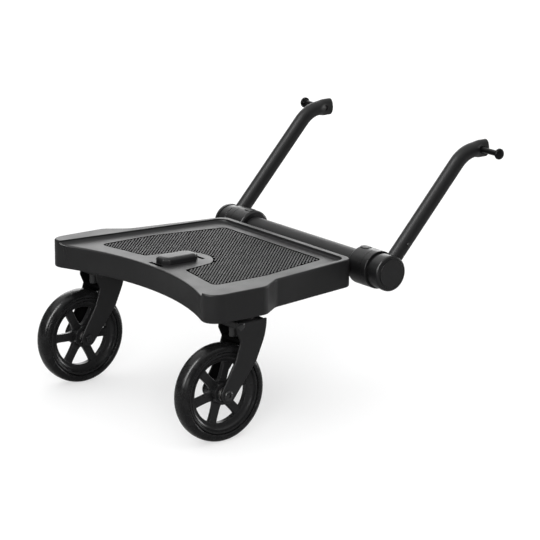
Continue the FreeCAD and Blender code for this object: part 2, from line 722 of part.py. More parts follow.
def make_swivel():
    """The swivel head between the cheeks, its kingpin and the parts the fork swings on."""
    side = "fork_gap / 2 - side_gap"
    head = block("head_block", (f"wheel_x - ({side})", "axle_y + head_rear", "head_bottom"),
                 (f"wheel_x + {side}", "axle_y + head_rear + head_length", "head_top"))
    spot = {"x": "wheel_x", "y": "swivel_y"}
    neck = rod("head_neck", "z", "neck_radius", "head_top - overrun", "neck_top", **spot)
    king_bore = rod("king_bore", "z", "kingpin_radius + seat_gap", "head_bottom - overrun",
                    "neck_top + overrun", **spot)
    across = (f"wheel_x - ({side}) - overrun", f"wheel_x + {side} + overrun")
    pivot_bore = rod("pivot_bore", "x", "pivot_radius + seat_gap", *across, y="pivot_y", z="pivot_z")
    room = "limiter_radius + side_gap"
    slot = block("limiter_slot", (across[0], f"limiter_y - ({room})", f"limiter_z - ({room})"),
                 (across[1], f"limiter_y + {room}", "head_top + overrun"))
    finish_pair("swivel_head", cut("head", join("head_solid", head, neck), king_bore, pivot_bore, slot))
    pin_head = rod("kingpin_head", "z", "kingpin_head_radius", "head_bottom - kingpin_head_thickness",
                   "head_bottom", **spot)
    stem = rod("kingpin_stem", "z", "kingpin_radius", "head_bottom", "deck_ceiling - side_gap", **spot)
    groove = ring("clip_groove", "z", "kingpin_radius + overrun", "kingpin_radius - clip_depth",
                  "clip_bottom", "clip_bottom + clip_thickness", **spot)
    finish_pair("kingpin", cut("king", join("king_solid", pin_head, stem), groove))
    finish_pair("stem_clip", ring("clip", "z", "clip_radius", "kingpin_radius - clip_depth + seat_gap",
                                  "clip_bottom + seat_gap",
                                  "clip_bottom + clip_thickness - seat_gap", **spot))
    finish_pair("swivel_bush", ring("bush", "z", "bush_radius", "kingpin_radius + running_gap",
                                    "deck_bottom", "clip_bottom - side_gap", **spot))
    finish_pair("thrust_washer", ring("washer", "z", "neck_radius", "kingpin_radius + side_gap",
                                      "deck_bottom - washer_thickness", "deck_bottom", **spot))
    reach = "fork_gap / 2 + pivot_engagement"
    finish_pair("fork_pivot", rod("pivot", "x", "pivot_radius", f"wheel_x - ({reach})", f"wheel_x + {reach}",
                                  y="pivot_y", z="pivot_z"))
    finish_pair("suspension_bumper", rod("bumper", "z", "bumper_radius", "bridge_top", "head_bottom",
                                         x="wheel_x", y="axle_y + bumper_reach"))
    ends = ("wheel_x - cheek_outer", "wheel_x + cheek_outer")
    line = {"y": "limiter_y", "z": "limiter_z"}
    finish_pair("limiter_pin", join("limiter", rod("limiter_shank", "x", "limiter_radius", *ends, **line),
                                    rod("limiter_head", "x", "limiter_head_radius", ends[1],
                                        f"{ends[1]} + limiter_head_thickness", **line),
                                    rod("limiter_tail", "x", "limiter_head_radius",
                                        f"{ends[0]} - limiter_head_thickness", ends[0], **line)))


# Cross tube and what holds it to the tray

def make_cross_tube():
    line = {"y": "hinge_y", "z": "hinge_z"}
    tube = ring("cross", "x", "cross_tube_radius", "tube_bore", "-collar_inner", "collar_inner", **line)
    below = "hinge_z - cross_tube_radius - overrun"
    rivet_holes = [rod("rivet_hole", "z", "collar_rivet_radius + seat_gap", below, "hinge_z",
                       x=f"({side}) * (collar_inner - collar_plug_length / 2)", y="hinge_y")
                   for side in (-1, 1)]
    screw_holes = [rod("screw_hole", "z", "saddle_screw_radius + seat_gap", below, "hinge_z",
                       x=f"({side}) * saddle_place + ({step}) * saddle_screw_spacing / 2", y="hinge_y")
                   for side in (-1, 1) for step in (-1, 1)]
    finish("cross_tube", cut("cross_tube", tube, *rivet_holes, *screw_holes))


def make_saddles():
    """Cradles under the cross tube, screwed to the tray's front wall and to the tube."""
    floor = "hinge_z - cross_tube_radius - saddle_floor"
    wall = "axle_y + deck_front"
    body = block("saddle_block", ("saddle_place - saddle_width / 2", wall, floor),
                 ("saddle_place + saddle_width / 2", "hinge_y + saddle_nose", "hinge_z"))
    seat = rod("saddle_seat", "x", "cross_tube_radius + seat_gap", "saddle_place - saddle_width",
               "saddle_place + saddle_width", y="hinge_y", z="hinge_z")
    places = [f"saddle_place + ({step}) * saddle_screw_spacing / 2" for step in (-1, 1)]
    tube_holes = [rod("tube_screw_hole", "z", "saddle_screw_radius + seat_gap", f"{floor} - overrun",
                      "hinge_z", x=place, y="hinge_y") for place in places]
    wall_holes = [rod("wall_screw_hole", "y", "saddle_screw_radius + seat_gap", f"{wall} - overrun",
                      f"{wall} + saddle_screw_grip + overrun", x=place, z="deck_bottom + saddle_screw_rise")
                  for place in places]
    finish_pair("tube_saddle", cut("saddle", body, seat, *tube_holes, *wall_holes))
    inside = f"{wall} - deck_wall"
    shanks = saddle_wall_screws("saddle_screw_radius", inside, f"{wall} + saddle_screw_grip")
    heads = saddle_wall_screws("saddle_screw_head_radius", f"{inside} - saddle_screw_head_thickness", inside)
    screws = [join("wall_screw_whole", *pair) for pair in zip(shanks, heads)]
    for side in (-1, 1):
        for step in (-1, 1):
            spot = {"x": f"({side}) * saddle_place + ({step}) * saddle_screw_spacing / 2", "y": "hinge_y"}
            shank = rod("tube_screw_shank", "z", "saddle_screw_radius", floor,
                        "hinge_z - tube_bore + saddle_screw_radius", **spot)
            head = rod("tube_screw_head", "z", "saddle_screw_head_radius",
                       f"{floor} - saddle_screw_head_thickness", floor, **spot)
            screws.append(join("tube_screw", shank, head))
    finish("saddle_screws", group("saddle_screw_set", *screws))


# Arm hinges and arms, built on the right and mirrored

def make_collar():
    """The fixed half of an arm hinge, plugged into the cross tube, with its release button."""
    line = {"y": "hinge_y", "z": "hinge_z"}
    outside = rod("collar_outside", "x", "collar_radius", "collar_inner", "collar_face", **line)
    plug = rod("collar_plug", "x", "tube_bore - seat_gap", "collar_inner - collar_plug_length",
               "collar_inner + overrun", **line)
    shaft_bore = rod("shaft_bore", "x", "pivot_shaft_radius + running_gap",
                     "collar_inner + collar_core", "collar_face + overrun", **line)
    bolt_bore = rod("bolt_bore", "x", "hinge_bolt_radius + seat_gap",
                    "collar_inner - collar_plug_length - overrun", "collar_face", **line)
    room = ("button_width / 2 + button_gap", "button_depth / 2 + button_gap")
    pocket = block("button_pocket",
                   (f"button_x - ({room[0]})", f"hinge_y - ({room[1]})", "button_pocket_floor"),
                   (f"button_x + {room[0]}", f"hinge_y + {room[1]}", "button_top + overrun"))
    rivet_x = "collar_inner - collar_plug_length / 2"
    rivet_end = "hinge_z - tube_bore / 2"
    rivet_hole = rod("plug_rivet_hole", "z", "collar_rivet_radius + seat_gap", "hinge_z - cross_tube_radius",
                     f"{rivet_end} + side_gap", x=rivet_x, y="hinge_y")
    finish_pair("hinge_collar", cut("collar", join("collar_solid", outside, plug), shaft_bore, bolt_bore,
                                    pocket, rivet_hole))
    rivets = []
    for side in (-1, 1):
        spot = {"x": f"({side}) * ({rivet_x})", "y": "hinge_y"}
        face = "hinge_z - cross_tube_radius"
        shank = rod("rivet_shank", "z", "collar_rivet_radius", face, rivet_end, **spot)
        head = rod("rivet_head", "z", "collar_rivet_head_radius", f"{face} - collar_rivet_head_thickness",
                   face, **spot)
        rivets.append(join("rivet", shank, head))
    finish("collar_rivets", group("rivet_set", *rivets))
    cap_block = block("button_block",
                      ("button_x - button_width / 2", "hinge_y - button_depth / 2", "button_bottom"),
                      ("button_x + button_width / 2", "hinge_y + button_depth / 2", "button_top"))
    crown = rod("button_crown", "x", "collar_radius + button_proud", "collar_inner", "collar_face", **line)
    finish_pair("release_button", overlap("button", cap_block, crown))
    finish_pair("button_spring", ring("spring", "z", "button_spring_radius",
                                      "button_spring_radius - button_spring_wall",
                                      "button_pocket_floor", "button_bottom", x="button_x", y="hinge_y"))


def along_arm(distance):
    """The y and z of a point on the arm's straight run, at a distance from the hinge axis."""
    return (f"hinge_y + ({distance}) * cos(arm_angle * 1deg)",
            f"hinge_z + ({distance}) * sin(arm_angle * 1deg)")


def arm_rod(name, radius, start, end):
    """A round bar along the arm's straight run."""
    item = doc.addObject("Part::Cylinder", name)
    bind(item, Radius=radius, Height=f"({end}) - ({start})")
    y, z = along_arm(start)
    lean = FreeCAD.Rotation(SIDEWAYS, value("arm_angle") - 90)
    return put(item, "arm_x", y, z, lean)


def arm_pipe(name, radius, start):
    """A round bar along the arm's whole route, from its flat end through the bend to the hub."""
    body = doc.addObject("PartDesign::Body", name)
    bend_end = ("arm_vertex_y - bend_run * cos(arm_angle * 1deg)",
                "arm_end_z - bend_run * sin(arm_angle * 1deg)")
    route = [("flat_start_y", "arm_end_z", "bend_bow"), bend_end, along_arm(start)]
    spine = draw(body, name + "_route", "YZ_Plane", route, "arm_x", closed=False)
    profile = body.newObject("Sketcher::SketchObject", name + "_section")
    profile.AttachmentSupport = [(origin_feature(body, "XZ_Plane"), "")]
    profile.MapMode = "FlatFace"
    profile.setExpression("AttachmentOffset.Base.z", formula("-(flat_start_y)"))
    centre = FreeCAD.Vector(value("arm_x"), value("arm_end_z"), 0)
    profile.addGeometry(Part.Circle(centre, FreeCAD.Vector(0, 0, 1), value(radius)))
    pin_point(profile, 0, 3, "arm_x", "arm_end_z")
    index = profile.addConstraint(Sketcher.Constraint("Radius", 0, value(radius)))
    profile.setExpression(f"Constraints[{index}]", formula(radius))
    doc.recompute()
    feature = body.newObject("PartDesign::AdditivePipe", name + "_sweep")
    feature.Profile = profile
    feature.Spine = (spine, [f"Edge{i}" for i in range(1, len(route))])
    return body


def flat_section(name, height, thickness, y):
    item = doc.addObject("Part::Ellipse", name)
    bind(item, MajorRadius=f"({height}) / 2", MinorRadius=f"({thickness}) / 2")
    return put(item, "arm_x", y, "arm_end_z", UPRIGHT_ACROSS_Y)


def make_hub():
    """The turning half of an arm hinge, its bolt, washer and cap."""
    line = {"y": "hinge_y", "z": "hinge_z"}
    solids = [rod("hub_drum", "x", "arm_hub_radius", "neck_face", "hub_face", **line),
              rod("hub_neck", "x", "arm_hub_neck_radius", "washer_face", "neck_face + overrun", **line),
              rod("pivot_shaft", "x", "pivot_shaft_radius", "collar_inner + collar_core + side_gap",
                  "neck_face", **line),
              arm_rod("arm_spigot", "arm_bore - seat_gap", "pivot_shaft_radius", "spigot_length")]
    recess = rod("hub_recess", "x", "cap_plug_radius + seat_gap", "hub_face - hub_recess_depth",
                 "hub_face + overrun", **line)
    bolt_way = rod("bolt_way", "x", "hinge_bolt_radius + running_gap", "collar_inner", "hub_face", **line)
    cap_room = rod("cap_room", "x", "cap_radius + arm_cope_gap", "hub_face", "cap_face", **line)
    y, z = along_arm("snap_reach")
    snap_seat = rod("snap_seat", "x", "snap_foot_radius + snap_gap",
                    "snap_foot_top - snap_foot_thickness - snap_travel - snap_gap",
                    "snap_foot_top + snap_gap", y=y, z=z)
    snap_way = rod("snap_way", "x", "snap_radius + snap_gap", "snap_foot_top",
                   "arm_x + arm_radius + overrun", y=y, z=z)
    finish_pair("arm_hub", cut("hub", join("hub_solid", *solids), recess, bolt_way, cap_room,
                               snap_seat, snap_way))
    bolt_floor = "hub_face - hub_recess_depth + side_gap"
    shank = rod("bolt_shank", "x", "hinge_bolt_radius", "collar_inner - collar_plug_length", bolt_floor,
                **line)
    head = rod("bolt_head", "x", "hinge_bolt_head_radius", bolt_floor,
               f"{bolt_floor} + hinge_bolt_head_thickness", **line)
    finish_pair("hinge_bolt", join("bolt", shank, head))
    finish_pair("hinge_washer", ring("hinge_disc", "x", "arm_hub_neck_radius - side_gap",
                                     "pivot_shaft_radius + side_gap", "collar_face",
                                     "washer_face - side_gap", **line))
    cap = [rod("cap_rim", "x", "cap_radius", "hub_face", "cap_face - cap_disc_thickness", **line),
           rod("cap_disc", "x", "cap_disc_radius", "hub_face", "cap_face", **line),
           rod("cap_plug", "x", "cap_plug_radius", "hub_face - cap_plug_length", "cap_face", **line)]
    finish_pair("hub_cap", join("cap", *cap))


def make_arm():
    """The bent arm tube with its flattened end, snap button, end cap and stud."""
    ends = [flat_section("round_end", "arm_radius * 2", "arm_radius * 2", "flat_start_y"),
            flat_section("flat_end", "arm_flat_height", "arm_flat_thickness",
                         "arm_tip_y - arm_cap_thickness")]
    flat = doc.addObject("Part::Loft", "arm_flat")
    flat.Sections = ends
    flat.Solid = True
    flat.Ruled = True
    outside = arm_pipe("arm_outside", "arm_radius", "arm_hub_neck_radius")
    tube = cut("arm_bored", join("arm_solid", outside, flat),
               arm_pipe("arm_inside", "arm_bore", "pivot_shaft_radius"))
    line = {"y": "hinge_y", "z": "hinge_z"}
    copes = [rod("hub_cope", "x", "arm_hub_radius + arm_cope_gap", "neck_face - arm_radius", "hub_face",
                 **line),
             rod("cap_cope", "x", "cap_radius + arm_cope_gap", "hub_face", "cap_face", **line)]
    y, z = along_arm("snap_reach")
    snap_hole = rod("snap_hole", "x", "snap_radius + snap_gap", "arm_x",
                    "arm_x + arm_radius + overrun", y=y, z=z)
    stud_line = {"y": "stud_y", "z": "arm_end_z"}
    stud_hole = rod("stud_hole", "x", "stud_radius + seat_gap", "arm_x - arm_radius",
                    "arm_x + arm_radius", **stud_line)
    finish_pair("arm_tube", cut("arm", tube, *copes, snap_hole, stud_hole))
    cap = doc.addObject("Part::Extrusion", "arm_cap")
    cap.Base = ends[1]
    cap.DirMode = "Custom"
    cap.Dir = FreeCAD.Vector(0, 1, 0)
    bind(cap, LengthFwd="arm_cap_thickness")
    cap.Solid = True
    finish_pair("arm_end_cap", cap)
    foot = rod("snap_foot", "x", "snap_foot_radius", "snap_foot_top - snap_foot_thickness",
               "snap_foot_top", y=y, z=z)
    peg = rod("snap_peg", "x", "snap_radius", "snap_foot_top", "arm_x + arm_radius + snap_proud", y=y, z=z)
    finish_pair("snap_button", join("snap", foot, peg))
    inner_face = "arm_x - arm_flat_thickness / 2"
    outer_face = "arm_x + arm_flat_thickness / 2"
    head_face = f"{outer_face} + stud_length"
    head = rod("stud_head", "x", "stud_head_radius", head_face, f"{head_face} + stud_head_thickness",
               **stud_line)
    doc.recompute()
    rounded = doc.addObject("Part::Fillet", "stud_head_rounded")
    rounded.Base = head
    rounding = value("stud_head_rounding")
    rounded.Edges = [(i, rounding, rounding) for i, edge in enumerate(head.Shape.Edges, start=1)
                     if isinstance(edge.Curve, Part.Circle)]
    neck = rod("stud_neck", "x", "stud_radius", inner_face, f"{head_face} + overrun", **stud_line)
    finish_pair("mount_stud", join("stud", rounded, neck))


make_deck()
make_handle()
make_wheel("right", 1, RIGHT_SPOKE_TURN)
make_wheel("left", -1, LEFT_SPOKE_TURN)
make_fork()
make_axle()
make_swivel()
make_cross_tube()
make_saddles()
make_collar()
make_hub()
make_arm()
doc.recompute()

faults = [f"{item.Label}: {item.State}" for item in doc.Objects
          if "Invalid" in item.State or "Error" in item.State]
for node, item in nodes.items():
    if item.Shape.isNull() or not item.Shape.isValid() or not item.Shape.Solids:
        faults.append(f"{node}: no valid solid")
if faults:
    raise RuntimeError("; ".join(faults))

os.makedirs("parts", exist_ok=True)
for node, item in nodes.items():
    item.Shape.exportStep(f"parts/{node}.step")
    print(f"{node}: {len(item.Shape.Solids)} solids, {item.Shape.Volume / 1000:.2f} cm3")
print(len(nodes), "nodes")
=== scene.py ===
import json
import math

import bmesh
import bpy
from bpy.props import FloatProperty, FloatVectorProperty, IntProperty, PointerProperty
from mathutils import Matrix, Vector


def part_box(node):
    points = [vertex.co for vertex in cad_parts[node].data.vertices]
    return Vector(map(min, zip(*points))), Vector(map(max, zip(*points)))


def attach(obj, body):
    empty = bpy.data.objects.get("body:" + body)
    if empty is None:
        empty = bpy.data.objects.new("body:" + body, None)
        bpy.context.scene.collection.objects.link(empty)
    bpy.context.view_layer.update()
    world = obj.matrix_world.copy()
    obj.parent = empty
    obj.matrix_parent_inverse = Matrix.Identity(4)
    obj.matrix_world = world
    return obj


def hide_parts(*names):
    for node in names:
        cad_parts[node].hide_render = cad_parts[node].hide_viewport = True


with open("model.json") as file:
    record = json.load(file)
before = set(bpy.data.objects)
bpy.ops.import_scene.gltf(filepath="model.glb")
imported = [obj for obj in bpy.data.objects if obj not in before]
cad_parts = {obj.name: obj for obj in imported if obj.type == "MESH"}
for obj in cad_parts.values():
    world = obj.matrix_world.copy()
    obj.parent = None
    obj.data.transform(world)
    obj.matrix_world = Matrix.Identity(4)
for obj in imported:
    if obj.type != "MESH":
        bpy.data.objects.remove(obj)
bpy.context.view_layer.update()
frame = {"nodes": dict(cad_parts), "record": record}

bl_info = {
    "name": "Buggy Board",
    "version": (1, 0, 0),
    "blender": (4, 5, 0),
    "location": "3D View > Sidebar > Buggy Board",
    "description": "Models the finished pieces of a buggy board on its packed frame, with a studio stage",
    "category": "Add Mesh",
}

MM = 0.001
SIDES = ("right", "left")
ACROSS, FORWARD, UP = Vector((1, 0, 0)), Vector((0, 1, 0)), Vector((0, 0, 1))


def middle(node):
    """The centre of a node's box."""
    low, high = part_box(node)
    return (low + high) / 2


WHEEL = middle("tyre_right")
HINGE = middle("cross_tube")
DECK_LOW, DECK_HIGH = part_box("deck_tray")


# Sizes and colours

def length(name, millimetres, description):
    """A length in the sidebar, given here in millimetres."""
    return FloatProperty(name=name, description=description, default=millimetres * MM,
                         unit="LENGTH", precision=5)


def turn(name, degrees, description):
    """An angle in the sidebar, given here in degrees."""
    return FloatProperty(name=name, description=description, default=math.radians(degrees),
                         subtype="ANGLE")


def shade(name, value, description):
    """A near-neutral colour in the sidebar."""
    return FloatVectorProperty(name=name, description=description, default=value, size=3,
                               min=0, max=1, subtype="COLOR")


class DeckSizes(bpy.types.PropertyGroup):
    """Sizes of the deck, its mat and its lift handle."""
    front_width: length("Front width", 334, "Width of the deck at its front")
    waist_width: length("Waist width", 390, "Width of the deck ahead of its shoulders")
    shoulder_start: length("Shoulder start", 66, "From the axles to the wide part's front end")
    shoulder_run: length("Shoulder run", 34, "Length over which the sides draw in")
    tail: length("Tail", 46.5, "From the axles back to the rear corners")
    hollow: length("Hollow", 53, "Depth of the curve in the trailing edge")
    corner_run: length("Corner run", 37, "From a rear corner to the start of that curve")
    front_round: length("Front rounding", 20, "Radius of the front corners in plan")
    shoulder_round: length("Shoulder rounding", 22, "Radius of the curves at the shoulders")
    rear_round: length("Rear rounding", 24, "Radius of the rear corners in plan")
    edge_round: length("Edge rounding", 2.6, "Rounding of the deck's top edge")
    foot_round: length("Foot rounding", 1.8, "Rounding of the deck's bottom edge")
    rim_height: length("Rim height", 5.5, "Height of the rim above the standing plane")
    rim_front: length("Front rim", 10, "Width of the top of the rim at the front")
    rim_front_side: length("Rim beside the front", 6, "Width of the rim's top at the front corners")
    rim_rear_side: length("Rim at the rear", 26, "Width of the rim's top at the trailing edge")
    rim_slope: length("Rim slope", 16, "Run of the sloped inner side of the rim at the rear")
    rim_front_slope: length("Front rim slope", 3.4, "Run of the rim's inner side at the front")
    rim_corner: length("Rim corner", 17, "Radius of the front corners inside the rim")
    rim_fillet: length("Rim fillet", 3.4, "Height of the fillet at the foot of the rim's inner wall")
    rim_round: length("Rim rounding", 0.7, "Rounding of the rim's inner edge")
    wall: length("Wall", 3.5, "Thickness of the side walls")
    floor: length("Floor", 3.3, "Thickness of the floor below the mat")
    rib: length("Rib", 2.5, "Thickness of the ribs below the floor")
    rib_spacing: length("Rib spacing", 52, "Distance between the ribs")
    rib_start: length("Rib start", 3, "From the axles to the first rib that runs across")
    rib_rise: length("Rib rise", 2, "Height of the ribs' lower edges above the deck's foot")
    boss_radius: length("Boss radius", 18, "Radius of the bosses that hold the casters")
    boss_bore: length("Boss bore", 9.1, "Radius of the bore in each boss")
    boss_round: length("Boss rounding", 0.8, "Rounding of the bosses' edges")
    slot_half: length("Slot half length", 16.5, "Half the length of the slits and slots by the handle")
    slit_place: length("Slit place", 38.5, "From the handle's middle to each open slit")
    slit_width: length("Slit width", 6.2, "Width of the open slits")
    leg_slot_place: length("Leg slot place", 23, "From the handle's middle to the slot for each leg")
    leg_slot_width: length("Leg slot width", 3.2, "Width of the slots for the legs")
    mat_bed: length("Mat bed", 2.5, "Depth of the bed that the mat lies in")
    mat_gap: length("Mat gap", 1.2, "Gap between the mat and its bed")
    mat_front_width: length("Mat front width", 252, "Width of the mat at its front")
    mat_width: length("Mat width", 304, "Width of the mat at its rear")
    mat_round: length("Mat rounding", 10, "Radius of the mat's four corners")
    mat_bend: length("Mat bend", 115, "From the axles to the bend in the mat's sides")
    mat_bend_round: length("Mat bend rounding", 60, "Radius of that bend")
    mat_rear: length("Mat rear", 18, "From the axles to the mat's rear corners")
    notch_mouth: length("Notch mouth", 54, "Half the width of the mat's notch at its mouth")
    notch_mouth_place: length("Notch mouth place", 35, "From the axles to the mouth's corners")
    notch_mouth_round: length("Notch mouth rounding", 5, "Radius of the mouth's corners")
    notch_nose: length("Notch nose", 43, "Half the width of the notch where its nose starts")
    notch_nose_place: length("Notch nose place", 90, "From the axles to the start of its nose")
    notch_nose_rise: length("Notch nose rise", 24, "How far the curved nose stands forwards")
    stud_border: length("Stud border", 2, "Plain border of the mat outside its studs")
    stud_pitch: length("Stud pitch", 4.36, "Distance between the mat's small diamond studs")
    stud_gap: length("Stud gap", 1.8, "Width of the grooves between the studs")
    stud_height: length("Stud height", 1.3, "Height of the studs")
    stud_slope: length("Stud slope", 0.4, "Run of each stud's sloped side")
    mat_sink: length("Mat sink", 0.2, "How far the studs stay below the standing plane")
    grip_end: length("Grip end", 32.5, "Half the length of the lift handle")
    grip_side: length("Grip side", 18, "Half the width of the lift handle")
    grip_cut: length("Grip cut", 9, "Cut across the corners of the lift handle")
    grip_round: length("Grip rounding", 9, "Width of the rounded shoulder of the lift handle")
    grip_drop: length("Grip drop", 5, "Height of that shoulder")
    grip_edge: length("Grip edge", 1.2, "Rounding of the lift handle's upright edges")
    leg_half: length("Leg half width", 15, "Half the width of the lift handle's legs")
    leg_inner: length("Leg inner side", 21.9, "From the handle's middle to the inner side of a leg")
    leg_outer: length("Leg outer side", 24.1, "From the handle's middle to the outer side of a leg")
    leg_hook: length("Leg hook", 26.6, "From the handle's middle to the end of a leg's hook")
    hook_height: length("Hook height", 4, "Height of a leg's hook")
    leg_root: length("Leg root", 2, "How far a leg runs up into the grip")
    leg_round: length("Leg rounding", 0.4, "Rounding of the legs' edges")


class WheelSizes(bpy.types.PropertyGroup):
    """Sizes of the wheels and casters."""
    rim_radius: length("Rim radius", 62.4, "Outer radius of the rim")
    rim_width: length("Rim width", 27, "Width of the rim")
    rim_round: length("Rim rounding", 1.1, "Rounding of the rim's edges")
    lip: length("Lip", 4.6, "Width of the rim's outer lip")
    waist_radius: length("Waist radius", 46.8, "Inner radius of the rim")
    waist_width: length("Waist width", 10, "Width of the rim where its spokes end")
    hub_radius: length("Hub radius", 17, "Radius of the hub")
    hub_width: length("Hub width", 28, "Width of the hub")
    hub_round: length("Hub rounding", 1, "Rounding of the hub's edges")
    bearing_radius: length("Bearing seat", 11.05, "Radius of the seats for the bearings")
    bearing_depth: length("Bearing depth", 7.2, "Depth of the seats for the bearings")
    bearing_step: length("Bearing step", 2, "Height of the step behind a bearing")
    spoke_width: length("Spoke width", 14, "Width of a spoke at its middle")
    spoke_thickness: length("Spoke thickness", 8, "Thickness of a spoke")
    spoke_round: length("Spoke rounding", 1.8, "Rounding of a spoke's long edges")
    spoke_root: length("Spoke root", 3, "How far a spoke runs into the hub")
    spoke_tip: length("Spoke tip", 5, "How far a spoke runs into the rim")
    spokes: IntProperty(name="Spokes", description="Number of spokes", default=6, min=3)
    right_turn: turn("Right turn", 13, "Turn of the right wheel's first spoke from straight ahead")
    left_turn: turn("Left turn", -2, "Turn of the left wheel's first spoke from straight ahead")
    nicks: IntProperty(name="Nicks", description="Number of mould nicks round a tyre", default=10)
    nick_width: length("Nick width", 0.9, "Width of a mould nick")
    nick_depth: length("Nick depth", 0.9, "Depth of a mould nick")
    nick_slant: turn("Nick slant", 24, "Slant of a nick across the tread")
    knee_round: length("Knee rounding", 15, "Rounding of a fork's knee")
    fork_round: length("Fork rounding", 1.6, "Rounding of the outlines of a fork's cheeks")
    swivel_round: length("Swivel rounding", 0.8, "Rounding of a swivel head's edges")
    nut_round: length("Nut rounding", 0.5, "Rounding of an axle nut's edges")
    bolt_radius: length("Bolt radius", 4, "Radius of an axle bolt")
    bolt_head: length("Bolt head", 6.6, "Radius of an axle bolt's domed head")
    bolt_dome: length("Bolt dome", 2.4, "Height of that dome")
    bolt_flange: length("Bolt flange", 8.3, "Radius of the flange below the dome")
    flange_height: length("Flange height", 1, "Height of the flange at its edge")
    flange_rise: length("Flange rise", 1.2, "Height of the flange at the dome")
    key_radius: length("Key radius", 2.6, "Radius of the key socket in an axle bolt")
    key_depth: length("Key depth", 2, "Depth of the key socket")
    pin_radius: length("Pin radius", 4.2, "Radius of a limiter pin where it leaves its fork")
    pin_head: length("Pin head", 6.2, "Radius of a limiter pin's ends")
    pin_dome: length("Pin dome", 1.5, "Height of the domes on those ends")


class ArmSizes(bpy.types.PropertyGroup):
    """Sizes of the cross tube, the hinges and the arms."""
    tube_radius: length("Cross tube radius", 20, "Radius of the cross tube")
    tube_wall: length("Cross tube wall", 2, "Thickness of the cross tube's wall")
    tube_round: length("Cross tube rounding", 0.4, "Rounding of the cross tube's ends")
    saddle_round: length("Saddle rounding", 1, "Rounding of the saddles' edges")
    collar_radius: length("Collar radius", 29.5, "Radius of the fixed half of a hinge")
    collar_chamfer: length("Collar chamfer", 3, "Chamfer of a collar towards the cross tube")
    collar_round: length("Collar rounding", 1, "Rounding of a collar's outer edges")
    collar_bore: length("Collar bore", 6, "Radius of the bore through a collar's plug")
    plug_gap: length("Plug gap", 0.1, "Gap between a collar's plug and the cross tube")
    seam_place: length("Seam place", 32.8, "From a collar's inner end to the seam round it")
    seam: length("Seam", 0.6, "Width and depth of a seam")
    shaft_radius: length("Shaft radius", 12, "Radius of the shaft inside a hinge")
    shaft_gap: length("Shaft gap", 0.3, "Gap round that shaft and at its end")
    button_round: length("Button rounding", 5, "Radius of a release button's corners")
    button_rise: length("Button rise", 0.9, "How far a release button stands above its collar")
    button_edge: length("Button edge", 0.6, "Rounding of a release button's top edge")
    pocket_gap: length("Pocket gap", 0.3, "Gap round a release button")
    pocket_depth: length("Pocket depth", 5.5, "Depth of the pocket below a release button")
    pocket_round: length("Pocket rounding", 5.2, "Radius of the pocket's corners")
    well_radius: length("Well radius", 3.8, "Radius of the bore for a release button's spring")
    well_depth: length("Well depth", 3.2, "Depth of that bore")
    hinge_gap: length("Hinge gap", 1.2, "Gap between the two halves of a hinge")
    hub_radius: length("Hub radius", 27, "Radius of the turning half of a hinge")
    hub_bore: length("Hub bore", 4.1, "Radius of the bore for the hinge bolt")
    hub_round: length("Hub rounding", 0.7, "Rounding of that half's edges")
    neck_radius: length("Neck radius", 26, "Radius of its neck beside the collar")
    neck_width: length("Neck width", 3.6, "Width of that neck")
    cap_radius: length("Cap radius", 28, "Radius of a hinge's cover")
    cap_round: length("Cap rounding", 3.6, "Rounding of the cover's outer edge")
    cap_disc: length("Cap disc", 22, "Radius of the raised disc on the cover")
    disc_height: length("Disc height", 1.2, "Height of that disc")
    disc_round: length("Disc rounding", 0.5, "Rounding of the disc's edge")
    groove_top: length("Groove top", 1.2, "Width of the groove round the disc at its top")
    groove_foot: length("Groove foot", 1, "Width of that groove at its foot")
    groove_depth: length("Groove depth", 0.5, "Depth of that groove")
    spigot_radius: length("Spigot radius", 19.5, "Radius of the cover's spigot inside the hub")
    spigot_length: length("Spigot length", 3, "Length of that spigot")
    arm_radius: length("Arm radius", 11.7, "Radius of the arm tubes")
    arm_start: length("Arm start", 21, "From a hinge's axis to the foot of its arm tube")
    arm_angle: turn("Arm angle", 47.3, "Rise of the arms from level")
    bend_radius: length("Bend radius", 52, "Radius of the bend in each arm")
    flat_run: length("Flat run", 14, "Length over which an arm's end flattens")
    flat_height: length("Flat height", 27.5, "Height of an arm's flattened end")
    flat_thickness: length("Flat thickness", 17, "Thickness of an arm's flattened end")
    plug_round: length("Plug rounding", 2.4, "Rounding of the plug in an arm's end")
    snap_round: length("Snap rounding", 1.3, "Rounding of a snap button's edges")
    stud_radius: length("Stud radius", 4.5, "Radius of a stud's neck")
    stud_washer: length("Stud washer", 1.6, "Width and height of the washer at a stud's foot")
    stud_flare: length("Stud flare", 1.5, "Run and height of the flare below a stud's head")
    stud_head: length("Stud head", 8.7, "Radius of a stud's head")
    stud_head_length: length("Stud head length", 6, "Length of a stud's head")
    stud_head_round: length("Stud head rounding", 1.5, "Rounding of a stud's head")


class BoardColours(bpy.types.PropertyGroup):
    """Colours of the finishes and of the stage."""
    plastic: shade("Plastic", (0.0095, 0.0095, 0.0098), "Satin moulded plastic")
    hinge: shade("Hinge", (0.006, 0.006, 0.0062), "The arm hinges")
    button: shade("Button", (0.016, 0.016, 0.0164), "The release buttons")
    mat: shade("Mat", (0.018, 0.018, 0.0185), "The non-slip mat")
    rubber: shade("Rubber", (0.005, 0.005, 0.0052), "Tyres and bumpers")
    paint: shade("Paint", (0.0065, 0.0065, 0.0067), "Powder coat on the tubes")
    stud: shade("Stud", (0.003, 0.003, 0.0031), "The glossy studs")
    black_steel: shade("Black steel", (0.006, 0.006, 0.0062), "Blackened bolts and pins")
    bare_steel: shade("Bare steel", (0.55, 0.55, 0.56), "Bright steel inside the joints")
    nylon: shade("Nylon", (0.72, 0.71, 0.68), "Washers and bushes")
    floor: shade("Floor", (0.42, 0.42, 0.42), "The studio floor")


# Finishes

